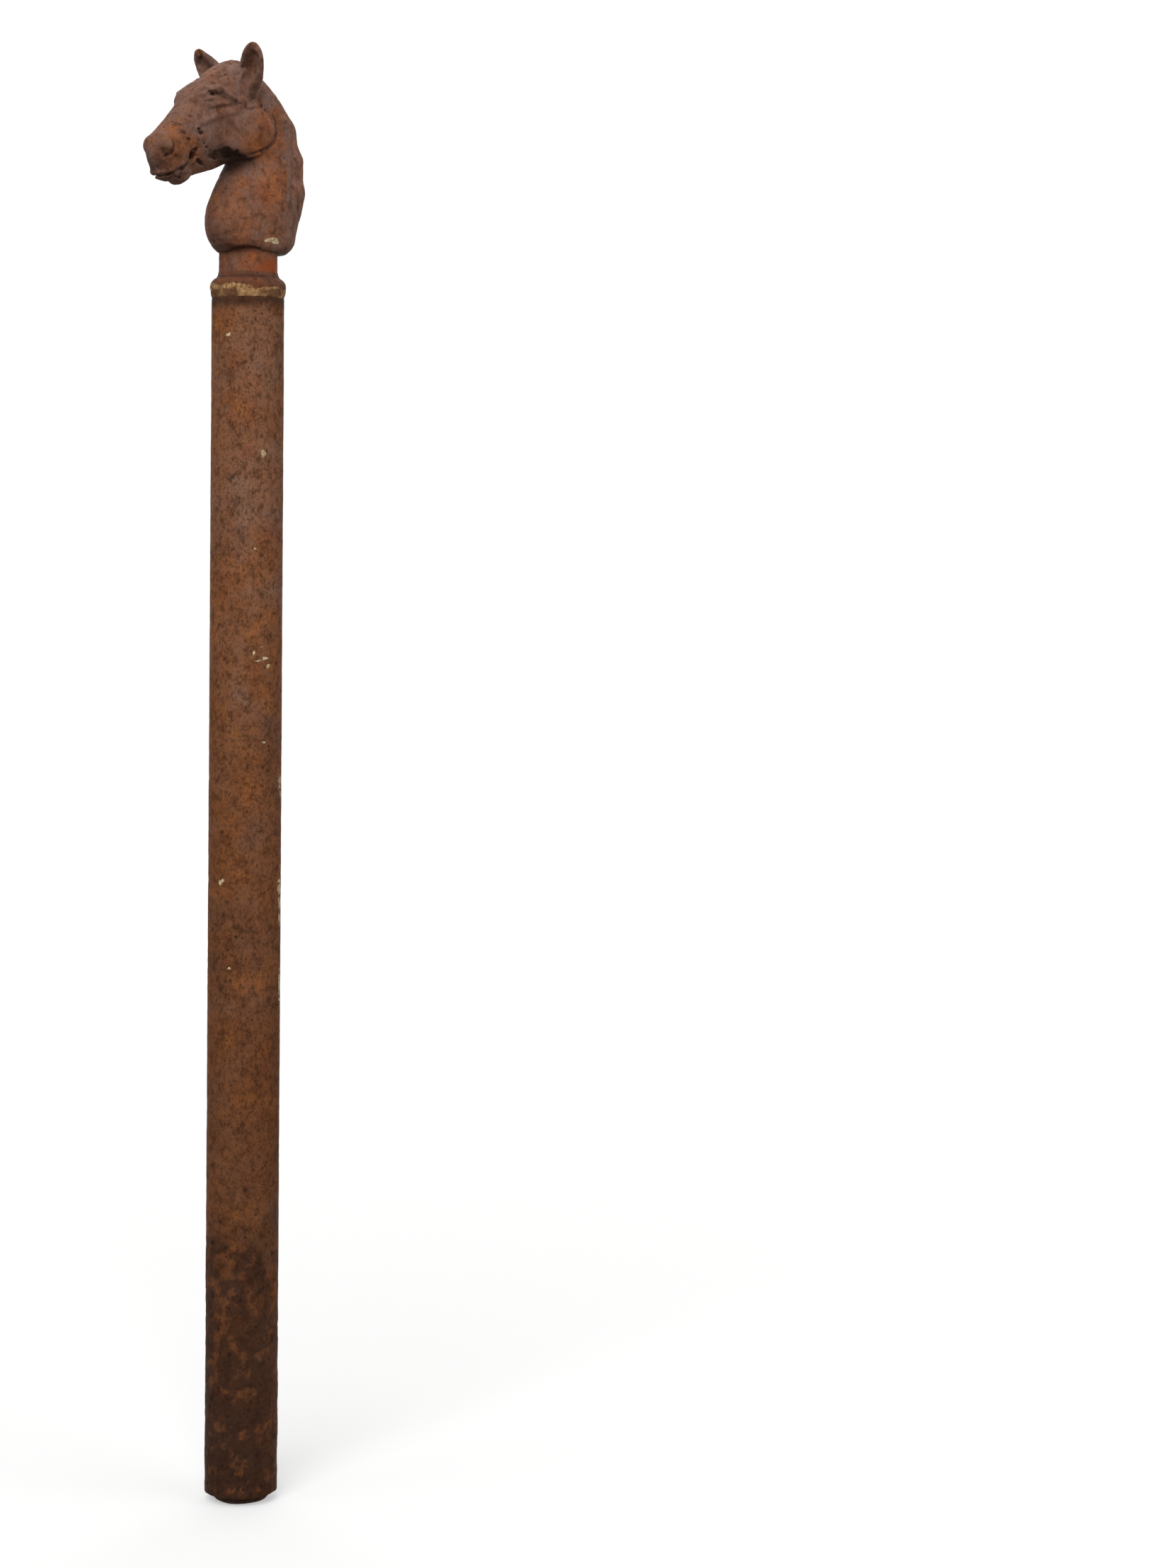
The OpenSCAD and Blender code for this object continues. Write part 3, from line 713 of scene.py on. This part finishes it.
def head_relief(p):
    """Mane strands, rust scale and pits, in millimetres outward."""
    x, u, h = p.T
    mid = np.interp(h, NECK_H, NECK_MID)
    back = np.interp(h, NECK_H, NECK_BACK)
    behind = np.clip((mid - u) / np.maximum(mid - back, 5), -1, 1.2)
    mane = ramp(0.22, 0.40, behind) * ramp(14, 40, h) * ramp(178, 150, h)
    turn = np.degrees(np.arctan2(x, np.maximum(mid - u, 0.1)))
    strands = turn / 15 + 0.8 * np.sin(h / 16) + 0.35 * value_noise(p, 30, 5)
    out = mane * (np.abs(np.sin(np.pi * strands)) ** 0.6 - 0.72)
    lumps = noise(p, 14, 11, 3)
    scale = noise(p, 4.2, 23, 2)
    pits = pit_field(p, 8.5, 31, 0.34) + 0.6 * pit_field(p, 4.2, 47, 0.3)
    eaten = spots(p, EATEN_SPOTS)
    return out + 0.26 * lumps + (0.14 + 0.2 * eaten) * scale - (0.55 + 0.9 * eaten) * pits


# Tints of the head on both sides: strength, centre and reach
WARM_SPOTS = (
    # Jowl, neck and chest
    (0.9, (28, 14, 118), (30, 36, 34)), (0.75, (30, -2, 68), (60, 46, 48)), (0.6, (26, 30, 30), (60, 40, 34)),
    # Behind the tether hole, upper lip and muzzle
    (0.8, (16, 88, 86), (14, 14, 12)), (0.6, (16, 116, 80), (16, 16, 14)), (0.6, (8, 128, 84), (34, 30, 34)),
    # Cool: brow and nose, poll and ears
    (-1.0, (10, 78, 150), (44, 62, 42)), (-0.5, (10, 30, 180), (44, 44, 30)),
)
# Dark tints, most of them painted shade
DARK_SPOTS = (
    # Painted shade at the throat; the tip of the muzzle and the whole muzzle darker
    (0.8, (4, 32, 86), (36, 30, 15)), (0.30, (8, 130, 84), (26, 22, 30)), (0.16, (10, 128, 84), (30, 26, 30)),
    # Painted shade in the hollow of the ear, at the edge of the jaw and in the pocket under it
    (0.5, (28, 30, 188), (16, 9, 26)), (0.35, (20, 55, 94), (10, 26, 9)), (0.95, (17, 46, 92), (14, 34, 11)),
    # Painted shade in the eye: slit, inner corner, outer corner and the fold behind it
    (0.75, (25, 76, 150.6), (9, 7, 3.6)), (0.375, (20.6, 86, 147.4), (6, 4, 4)),
    (0.675, (24.8, 60, 148.4), (9, 11, 4)), (0.525, (25.4, 50, 145.6), (9, 9, 3.4)),
    # Bridge of the nose darker, and painted shade in the tether hole
    (0.21, (4, 98, 138), (20, 44, 34)), (0.45, (15.6, 95, 87), (8, 7, 9)),
    # Painted shade on the front of the neck and of the chest
    (0.26, (14, 46, 66), (34, 20, 30)), (0.22, (8, 54, 38), (40, 18, 44)),
)
FRESH_SPOTS = (
    # Behind the tether hole, upper lip, jowl and neck
    (0.7, (15, 82, 84), (10, 12, 7)), (0.5, (16, 117, 84), (12, 14, 10)),
    (0.35, (28, 4, 122), (14, 22, 24)), (0.35, (30, 4, 60), (30, 24, 30)),
)

# Pale tints on the near side only: a painted highlight on the eye's lid, and the filler over the pin
PALE_SPOTS = ((0.5, (24.8, 76.4, 156), (6, 4.4, 2.4)), (0.6, (33, 5, 11), (6, 16, 4.5)),
              (1.1, (33, -4, 11.5), (6, 8, 4.2)))

# Painted shadow in a band on the neck behind the jowl, along the jowl's groove
JOWL_SHADE = ((20, -20, 142), (22, -24, 132), (23, -24, 121), (24, -20, 110), (25, -9, 101), (26, 8, 96))
JOWL_REACH = (16, 9, 9)


def beside_mane(near, grain, forward, wander, width, full_h):
    """A streak along the mane's groove, moved forward from it, that wanders with the grain."""
    x, u, h = near.T
    off = u - forward + wander * grain - np.interp(h, MANE_H, MANE_U)
    return np.exp(-(off / width) ** 2) * ramp(18, full_h, h) * ramp(116, 92, h) * (x > 8)


def head_tints(p, normals, hollow, broad):
    """The head's tints, from the spots above, with painted shade from its hollows, fine and broad, and on its
    undersides.
    """
    u, h = p[:, 1], p[:, 2]
    near = np.stack([np.abs(p[:, 0]), u, h], 1)
    grain = noise(p, 20, 61, 3)
    band = beside_mane(near, grain, forward=-1.6, wander=2.5, width=4.4, full_h=40)
    streak = beside_mane(near, grain, forward=8.5, wander=5.0, width=5.5, full_h=34)
    # Painted shadow in a band behind the jowl, where the rust is also warmer
    jowl = np.clip(sum(spot(near, at, JOWL_REACH) for at in JOWL_SHADE), 0, 1)
    warm = spots(near, WARM_SPOTS) + 0.1 * ramp(-34, -52, u) - 0.8 * band - 0.75 * streak + 0.7 * jowl

    # Painted shade in the eye's inner corner, uneven
    inner_corner_shade = spot(near, (20, 91, 147), (12, 10, 8)) * (0.45 + 0.45 * noise(p, 5, 227, 2))
    eaten_lips = 0.04 + 0.55 * ramp(0.05, 0.55, noise(p, 7.5, 223, 3))
    lips = spot(near, (12, 108, 71), (22, 34, 16)) * eaten_lips
    # Painted shade on the undersides, at the head's base by the stub, along the mane's back edge, and low on
    # the back of the neck
    below = ramp(0.1, -0.8, normals[:, 2]) * (h > 2)
    base_shade = ramp(7, 0, h)
    mane_back_shade = ramp(-46, -62, u) * ramp(4, 16, h)
    low_back_shadow = ramp(20, 3, h) * ramp(-10, -38, u)
    # The dark tint: the spots, the eaten lips, the streak by the mane, and painted shade in the broad hollows
    # and from the marks above
    dark = spots(near, DARK_SPOTS) + inner_corner_shade + lips + 0.06 * band * (1 + 0.5 * grain) + 0.30 * broad
    dark = dark + 0.22 * below + 0.26 * jowl + 0.5 * base_shade + 0.18 * mane_back_shade + 0.38 * low_back_shadow

    fresh = spots(near, FRESH_SPOTS) + 0.25 * grain - 0.1
    # Painted shade in the fine hollows, less towards the mane and in the band
    hollow = hollow * (1 - 0.3 * ramp(-26, -36, u)) * (1 - 0.5 * band)
    return {
        "hollow": 0.85 * ramp(0.08, 0.62, hollow),
        "warm": np.clip(warm + 0.2 * grain + 0.1, -0.6, 1),
        "dark": np.clip(dark + 0.12 * grain, 0, 0.92),
        "pale": np.clip(spots(p, PALE_SPOTS), 0, 1),
        "fresh": np.clip(fresh, 0, 1),
    }


FAR_EAR_LEAN = 5.0
POLL_DROP = 2.2


def build_head():
    clay = sculpt_head()
    p, quads = clay.skin()
    normals = vertex_normals(p, quads)
    inside = (axis_distance(p) < SEAT_R + 0.6) & (p[:, 2] < CORE_TOP + 1)
    keep = np.where(inside | (p[:, 2] < 0.6), 0.0, ramp(0.5, 5, p[:, 2]))
    p = p + normals * (head_relief(p) * keep)[:, None]
    p[:, 2] = np.maximum(p[:, 2], 0.0)

    # Painted shade in the hollows, fine and broad, from how deep the blurred surface sinks in
    fine_blur = blurred(clay.values, 7)
    hollow = np.clip(-clay.sample(fine_blur, p) / 1.6, 0, 1)
    broad = np.clip(-clay.sample(blurred(fine_blur, 24), p) / 3.0, 0, 1)
    # The far ear leans out more than the near one, and the poll is lower than the casting's
    p[:, 0] -= FAR_EAR_LEAN * ramp(17, 27, -p[:, 0]) * ramp(158, 176, p[:, 2])
    p[:, 2] -= POLL_DROP * spot(p, (2, 22, 184), (16, 30, 14))
    tints = head_tints(p, normals, hollow, broad)
    verts = np.stack([p[:, 0], -p[:, 1], p[:, 2] + HEAD_BASE], 1)
    make_piece("horse_head", verts, quads[:, ::-1], tints, HEAD_RUST, "head_casting")


# Turned pieces: a closed outline of radius and height, turned round the post's axis

def turned(outline, sides):
    """Points and outward quads of a ring, from an outline that runs up its outer wall and down its bore."""
    o = np.array(outline, float)
    m = len(o)
    a = np.arange(sides) * 2 * math.pi / sides
    radius, height = o[:, :1], np.repeat(o[:, 1:], sides, 1)
    verts = np.stack([radius * np.cos(a), radius * np.sin(a), height], 2).reshape(-1, 3)
    i, j = np.meshgrid(np.arange(m), np.arange(sides), indexing="ij")
    i2, j2 = (i + 1) % m, (j + 1) % sides
    quads = np.stack([i * sides + j, i * sides + j2, i2 * sides + j2, i2 * sides + j], 2).reshape(-1, 4)
    return verts, quads


def straight(corners, steps):
    """Points on lines from corner to corner, about the line's step apart, without the last corner."""
    out = []
    for a, b, step in zip(np.array(corners[:-1], float), np.array(corners[1:], float), steps):
        n = max(1, int(round(np.linalg.norm(b - a) / step)))
        out += [tuple(a + (b - a) * k / n) for k in range(n)]
    return out


def arc(centre, radius, start, end, step):
    """Points on an arc between two angles in degrees, about a step apart, without the last."""
    n = max(1, int(round(abs(end - start) / step)))
    angles = [math.radians(start + (end - start) * k / n) for k in range(n)]
    return [(centre[0] + radius * math.cos(a), centre[1] + radius * math.sin(a)) for a in angles]


def turned_size(node):
    """The outer radius, lower end and upper end of a turned CAD node, in millimetres."""
    low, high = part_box(node)
    return high.x / MM, low.z / MM, high.z / MM


# The photograph's side of the post, as an angle round the post's axis
CAMERA_SIDE = -46.0


def post_angle(p):
    """Degrees from the camera's side of the post, more to the right of the picture."""
    return (np.degrees(np.arctan2(p[:, 1], p[:, 0])) - CAMERA_SIDE + 180) % 360 - 180


PIPE_WALL = 6.5
PIPE_EDGE = 0.8

# Pale flecks on the post: height, angle, length up the post, width round it, in millimetres and degrees
FLECKS = (
    (850, -30, 5, 3), (787, 26, 8, 4), (586, 13, 3, 2.5), (578, 20, 2, 5), (581, 31, 2, 7),
    (573, 38, 2.2, 4), (592, 25, 2, 3), (498, 29, 3, 3), (453, 76, 20, 9), (337, 77, 38, 9),
    (250, 78, 20, 7), (357, -38, 7, 5), (271, -24, 3, 3), (905, -32, 3, 3), (690, 12, 4, 4),
    (640, 130, 8, 5), (210, -120, 6, 4), (730, 200, 7, 5),
)


def pipe_flecks(p, angle, r):
    """Ragged pale flecks on the pipe."""
    ragged = noise(p * [1, 1, 1.6], 6, 109, 2)
    pale = np.zeros(len(p))
    for z, at, tall, wide in FLECKS:
        turn = (angle - at + 180) % 360 - 180
        away = ((p[:, 2] - z) / tall) ** 2 + (np.radians(turn) * r / wide) ** 2
        pale = np.maximum(pale, np.exp(-away) * (0.62 + 0.5 * ragged))
    return np.clip(pale, 0, 1)


def pipe_tints(p, angle, buried, top):
    """The pipe's tints, above the ground line and below it."""
    z = p[:, 2]
    blot = noise(p, 46, 101, 4)
    patch = noise(p * [1, 1, 0.55], 30, 103, 3)
    # Painted shade, patchy, on the pipe just under the collar's bead, and on the pipe's right side
    under_collar_shade = ramp(top - 16, top - 3, z) * ramp(-0.5, 0.3, blot + 0.4)
    right_side_shade = ramp(20, 75, np.abs(angle) - 10) * (angle > 0)
    warm = 0.25 + 0.55 * ramp(800, 300, z) + 0.36 * blot + 0.25 * ramp(0.25, 0.6, patch)
    # Darker towards the bottom, partly the rust's own tone and partly painted shade, with the painted shade
    # above and darker blots
    dark = 0.20 * ramp(700, 380, z) + 0.20 * ramp(420, 60, z) + 0.76 * under_collar_shade
    dark = dark + 0.16 * ramp(0.25, 0.7, -blot) + 0.10 * right_side_shade

    rusty = ramp(0.1, 0.9, noise(p, 9, 107, 4) + 0.5 * ramp(-150, -10, z) - 0.15)
    soiled = 0.84 - 0.34 * rusty + 0.06 * ramp(-60, -250, z) - 0.16 * ramp(25, 70, angle)
    dark = dark * (1 - buried) + buried * soiled
    warm = warm * (1 - buried) + buried * (0.7 + 0.4 * rusty)
    return {"warm": np.clip(warm, 0, 1), "dark": np.clip(dark, 0, 0.94), "fresh": buried * rusty * 0.22}


def build_pipe():
    """The post's pipe, stained below the ground line, with pits and a chipped lower rim."""
    r, z0, z1 = turned_size("post_pipe")
    bore, shoulder = r - PIPE_WALL, r - PIPE_EDGE
    low, high = z0 + PIPE_EDGE, z1 - PIPE_EDGE
    outline = arc((shoulder, low), PIPE_EDGE, -90, 0, 30)
    outline += straight([(r, low), (r, high)], [2.0])
    outline += arc((shoulder, high), PIPE_EDGE, 0, 90, 30)
    outline += straight([(shoulder, z1), (bore, z1), (bore, z0), (shoulder, z0)], [2.5, 30.0, 2.5])
    p, quads = turned(outline, 128)
    z = p[:, 2]
    outer = ramp(bore + 1, r - 2, axis_distance(p))
    angle = post_angle(p)
    rise_at_right = 40 * ramp(12, 55, angle) * ramp(150, 90, angle)
    buried = ramp(6, -6, z + 5 * noise(p, 26, 71, 3) + rise_at_right)
    lumps = noise(p, 22, 73, 3)
    scale = noise(p, 5.5, 79, 2)
    pits = pit_field(p, 11, 83, 0.30) + 0.6 * pit_field(p, 5.5, 89, 0.3)
    seats = ramp(z1, z1 - 5, z)
    relief = (0.12 + 0.16 * buried) * lumps + (0.1 + 0.16 * buried) * scale - (0.45 + 0.5 * buried) * pits
    chips = ramp(z0 + 9, z0, z) * np.clip(noise(p, 12, 97, 2), 0, 1)
    p = raised(p, quads, np.minimum(relief, 0.35) * outer * seats - 1.3 * chips * outer)

    tints = pipe_tints(p, angle, buried, z1)
    tints["fresh"] = tints["fresh"] * outer
    tints["hollow"] = 0.7 * np.clip(pits - 0.1, 0, 1) * outer
    tints["pale"] = pipe_flecks(p, angle, r) * outer
    make_piece("post_tube", p, quads, tints, POST_RUST, "post_pipe")


# Radius of the pinhole at the plug's poles, which keeps it a ring of quads
POLE = 0.02
PLUG_FLAT_IN = 10.0
PLUG_RISE = 9.0
PLUG_WORKED = 16.0
PLUG_STEPS = 18


def build_plug():
    """The foot plug, with a round lower edge."""
    r, z0, z1 = turned_size("foot_plug")
    flat = r - PLUG_FLAT_IN
    outline = straight([(POLE, z0), (flat, z0)], [2.0])
    for k in range(PLUG_STEPS):
        a = k * math.pi / 2 / PLUG_STEPS
        outline.append((flat + PLUG_FLAT_IN * math.sin(a), z0 + PLUG_RISE * (1 - math.cos(a))))
    sides = [(r, z0 + PLUG_RISE), (r, z0 + PLUG_WORKED), (r, z1), (POLE, z1)]
    outline += straight(sides, [1.2, 12, 5]) + [(POLE, z1)]
    p, quads = turned(outline, 112)
    shown = ramp(z0 + 10, z0 + 8, p[:, 2]) * ramp(1.0, 6.0, axis_distance(p))
    relief = 0.3 * noise(p, 11, 113, 3) - 0.6 * pit_field(p, 8, 127, 0.35)
    p = raised(p, quads, np.minimum(relief, 0.1) * shown)
    p[:, 2] = np.maximum(p[:, 2], z0)
    blot = noise(p, 18, 131, 3)
    tints = {"warm": np.clip(0.4 + 0.5 * blot, 0, 1), "dark": np.clip(0.15 - 0.2 * blot, 0, 0.6)}
    make_piece("foot_plug_iron", p, quads, tints, FOOT_RUST, "foot_plug")


STUB_WALL = 6.0


def build_stub():
    """The stub, worked where it shows, with fresh rust at the right."""
    r, z0, z1 = turned_size("neck_stub")
    bore = r - STUB_WALL
    shown0, shown1 = HEAD_BASE - 26, HEAD_BASE + 1
    corners = [(r, z0), (r, shown0), (r, shown1), (r, z1), (bore, z1), (bore, z0), (r, z0)]
    outline = straight(corners, [12, 1.0, 12, 3, 30, 3])
    p, quads = turned(outline, 150)
    z = p[:, 2]
    shown = ramp(shown0, shown0 + 3, z) * ramp(shown1, shown1 - 2, z) * (axis_distance(p) > r - 1)
    relief = 0.16 * noise(p, 12, 137, 3) + 0.1 * noise(p, 4, 139, 2)
    relief = relief - 0.5 * pit_field(p, 7, 149, 0.35)
    p = raised(p, quads, np.minimum(relief, 0.25) * shown)

    z = p[:, 2]
    angle = post_angle(p)
    blot = noise(p, 16, 151, 3)
    orange = ramp(12, 34, angle + 12 * blot) * ramp(100, 70, angle)
    orange = orange * ramp(HEAD_BASE - 7, HEAD_BASE - 15, z + 5 * blot)
    # Painted shade at the stub's top, under the head
    dark = 0.5 * ramp(HEAD_BASE - 4, HEAD_BASE, z) + 0.1 * blot
    tints = {"warm": np.clip(0.5 + 0.4 * blot + 0.8 * orange, 0, 1), "fresh": 0.75 * orange,
             "dark": np.clip(dark, 0, 0.7)}
    make_piece("neck_stub_iron", p, quads, tints, STUB_RUST, "neck_stub")


BEAD_H = 17.0
BEAD_R = 0.57 * BEAD_H
LIP_R = 32.2
LIP_TOP_R = SEAT_R + 0.25
COVE_STEPS = 6


def collar_outline(r, z0, z1):
    """The bead, a cove from it up to the thin lip, and the bore."""
    mid = (r - BEAD_R, z0 + BEAD_H - BEAD_R)
    start = -math.degrees(math.asin((BEAD_H - BEAD_R) / BEAD_R))
    end = math.degrees(math.acos((LIP_R - mid[0]) / BEAD_R))
    foot = (mid[0] + BEAD_R * math.cos(math.radians(start)), z0)
    rise = mid[1] + BEAD_R * math.sin(math.radians(end))
    outline = arc(mid, BEAD_R, start, end, 5)
    for k in range(COVE_STEPS + 1):
        f = k / COVE_STEPS
        outline.append((LIP_TOP_R + (LIP_R - LIP_TOP_R) * (1 - f) ** 2, rise + (z1 - rise) * f))
    return outline + straight([(SEAT_R, z1), (SEAT_R, z0), foot], [6, 2])


def build_collar():
    """The collar's bead, with painted shade in the groove at its lip and old putty on its lower half."""
    r, z0, z1 = turned_size("collar_ring")
    p, quads = turned(collar_outline(r, z0, z1), 150)
    shown = ramp(SEAT_R + 0.4, SEAT_R + 1.2, axis_distance(p)) * ramp(z0, z0 + 2, p[:, 2])
    relief = 0.25 * noise(p, 13, 157, 3) + 0.15 * noise(p, 4.5, 163, 2)
    relief = relief - 0.6 * pit_field(p, 7, 167, 0.35)
    p = raised(p, quads, np.minimum(relief, 0.5) * shown)

    z, away = p[:, 2], axis_distance(p)
    blot = noise(p, 16, 173, 3)
    # Painted shade in the groove at the lip
    groove = np.exp(-((z - (z0 + BEAD_H)) / 1.6) ** 2) * (away < LIP_R + 3)
    wave = noise(p * [1, 1, 0.0], 15, 181, 3)
    edge = z0 + 7.0 + 2.2 * wave - 0.03 * np.clip(post_angle(p), -60, 60)
    ochre = ramp(edge + 2.2, edge - 1.2, z) * (0.62 + 0.4 * noise(p, 10, 199, 3))
    ochre = ochre * ramp(SEAT_R + 3, r - 3, away)
    tints = {"hollow": 0.55 * groove, "warm": np.clip(0.45 + 0.45 * blot, 0, 1),
             "dark": np.clip(0.1 - 0.2 * blot, 0, 0.5), "ochre": np.clip(ochre, 0, 1)}
    make_piece("collar_bead", p, quads, tints, COLLAR_RUST, "collar_ring")


PUTTY_H = 9.0
PUTTY_IN = 0.6
PUTTY_STEPS = 16


def putty_outline(pipe_r, bead_r, z0, z1):
    """The layer in the joint, and a fillet that runs up under the bead."""
    foot = pipe_r - PUTTY_IN
    outline = straight([(SEAT_R, z0), (foot, z0)], [1.5])
    for k in range(PUTTY_STEPS + 1):
        f = k / PUTTY_STEPS
        outline.append((foot + (bead_r - pipe_r + 0.3) * math.sin(f * math.pi / 2) ** 0.7, z0 + PUTTY_H * f))
    outline += straight([(bead_r - 1.6, z0 + PUTTY_H), (pipe_r - 3, z1 + 0.4)], [1.2])
    return outline + straight([(pipe_r - 3, z1), (SEAT_R, z1), (SEAT_R, z0)], [1.5, 2])


def build_putty():
    """Old putty, left as a ragged fillet between the pipe and the bead."""
    _, z0, z1 = turned_size("collar_caulking")
    pipe_r = turned_size("post_pipe")[0]
    bead_r = turned_size("collar_ring")[0]
    p, quads = turned(putty_outline(pipe_r, bead_r, z0, z1), 220)
    shown = ramp(pipe_r - 1, pipe_r + 0.1, axis_distance(p)) * ramp(z0 + 0.2, z0 + 1.5, p[:, 2])
    gaps = ramp(0.05, 0.6, noise(p * [1, 1, 0.6], 11, 191, 3))
    p = raised(p, quads, (0.3 * noise(p, 4.5, 193, 2) - 1.2 * gaps) * shown)
    p[:, 2] = np.maximum(p[:, 2], z0)
    rusty = ramp(-0.35, 0.45, noise(p, 12, 197, 3)) + 0.7 * gaps
    tints = {"dark": np.clip(0.8 * rusty, 0, 0.92)}
    make_piece("joint_putty", p, quads, tints, PUTTY, "collar_caulking")


build_head()
build_pipe()
build_plug()
build_stub()
build_collar()
build_putty()

# The pins stay as the CAD has them, with the rust of the pieces round them
for pin, material in (("head_pin", STUB_RUST), ("stub_pin", STUB_RUST), ("plug_pin", FOOT_RUST)):
    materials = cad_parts[pin].data.materials
    materials.clear()
    materials.append(material)


# Camera: the photograph's place, with its picture 1652 by 2215

PICTURE_W, PICTURE_H = 1652, 2215
SENSOR = 36.0
FOCAL_PX = 4500.0
DEPTH = 3.220
EYE_Z = 0.687
HORIZON_PX = 783.0
POST_PX = 348.3
VIEW_TURN = math.radians(37.9)
ROLL = math.radians(0.35)

UP = Vector((0, 0, 1))
RIGHT = Vector((math.cos(VIEW_TURN), math.sin(VIEW_TURN), 0))
AHEAD = Vector((-math.sin(VIEW_TURN), math.cos(VIEW_TURN), 0))


def build_camera():
    """A level camera with a shifted picture, so that the post's sides stay parallel."""
    data = bpy.data.cameras.new("camera")
    data.sensor_fit = "HORIZONTAL"
    data.sensor_width = SENSOR
    data.lens = FOCAL_PX * SENSOR / PICTURE_W
    data.shift_y = (HORIZON_PX - PICTURE_H / 2) / PICTURE_W
    data.clip_end = 100.0
    camera = bpy.data.objects.new("camera", data)
    bpy.context.scene.collection.objects.link(camera)
    post_right = (POST_PX - PICTURE_W / 2) * DEPTH / FOCAL_PX
    place = Matrix.Translation(-RIGHT * post_right - AHEAD * DEPTH + UP * EYE_Z)
    facing = Matrix((RIGHT, UP, -AHEAD)).transposed().to_4x4()
    camera.matrix_world = place @ facing @ Matrix.Rotation(ROLL, 4, "Z")
    bpy.context.scene.camera = camera


build_camera()


# Floor, background and soft light

FLOOR_HALF = 40.0
FLOOR_GLOW = 0.392
FLOOR_SEEN = (0.62, 0.62, 0.62, 1)
FLOOR_LIT = (0.16, 0.155, 0.15, 1)
WHITE = (1, 1, 1, 1)
SKY = (1.0, 0.99, 0.97, 1)
SKY_STRENGTH = 0.30


def seen_directly(nodes):
    """1 for what the camera sees, also by reflection or through glass."""
    path = nodes.add("ShaderNodeLightPath", {}).outputs
    both = nodes.math("MAXIMUM", path["Is Camera Ray"], path["Is Glossy Ray"])
    return nodes.math("MAXIMUM", both, path["Is Transmission Ray"])


def floor_material():
    """White for the camera, by a faint glow, and darker for the light that it throws back."""
    material = bpy.data.materials.new("pale_floor")
    material.use_nodes = True
    nodes = Nodes(material.node_tree)
    direct = seen_directly(nodes)
    colour = nodes.mix(direct, FLOOR_LIT, FLOOR_SEEN)
    inputs = {"Base Color": colour, "Roughness": 1.0, "Specular IOR Level": 0.0}
    shader = nodes.feed(nodes.tree.nodes["Principled BSDF"], inputs)
    glow = nodes.add("ShaderNodeEmission", {"Color": WHITE, "Strength": nodes.times(direct, FLOOR_GLOW)})
    both = nodes.add("ShaderNodeAddShader", {0: shader.outputs[0], 1: glow.outputs[0]})
    nodes.feed(nodes.tree.nodes["Material Output"], {"Surface": both.outputs[0]})
    return material


def build_floor():
    """A wide floor that the plug stands on."""
    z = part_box("foot_plug")[0].z
    mesh = bpy.data.meshes.new("floor")
    corners = [(i * FLOOR_HALF, j * FLOOR_HALF, z) for i, j in ((-1, -1), (1, -1), (1, 1), (-1, 1))]
    mesh.from_pydata(corners, [], [(0, 1, 2, 3)])
    mesh.materials.append(floor_material())
    floor = bpy.data.objects.new("floor", mesh)
    bpy.context.scene.collection.objects.link(floor)


def build_world():
    """A soft sky for the light, and plain white for the camera."""
    world = bpy.data.worlds.new("world")
    world.use_nodes = True
    bpy.context.scene.world = world
    nodes = Nodes(world.node_tree)
    sky = nodes.feed(nodes.tree.nodes["Background"], {"Color": SKY, "Strength": SKY_STRENGTH})
    white = nodes.add("ShaderNodeBackground", {"Color": WHITE, "Strength": 1.0})
    inputs = {0: seen_directly(nodes), 1: sky.outputs[0], 2: white.outputs[0]}
    choose = nodes.add("ShaderNodeMixShader", inputs)
    nodes.feed(nodes.tree.nodes["World Output"], {"Surface": choose.outputs[0]})


def build_sun(name, ahead, right, down, spread, strength):
    """A soft sun, by how far its light goes ahead, to the right and down in the picture."""
    data = bpy.data.lights.new(name, "SUN")
    data.energy = strength
    data.angle = math.radians(spread)
    lamp = bpy.data.objects.new(name, data)
    bpy.context.scene.collection.objects.link(lamp)
    toward = AHEAD * ahead + RIGHT * right - UP * down
    lamp.rotation_euler = toward.to_track_quat("-Z", "Y").to_euler()


build_floor()
build_world()
build_sun("key", ahead=0.80, right=0.12, down=0.64, spread=40, strength=2.16)
build_sun("side", ahead=0.5, right=0.8, down=0.25, spread=40, strength=0.42)
build_sun("fill", ahead=0.45, right=-0.85, down=0.3, spread=50, strength=0.92)
build_sun("back", ahead=-0.8, right=0.0, down=0.6, spread=60, strength=0.8)

bpy.context.scene.view_settings.view_transform = "Standard"
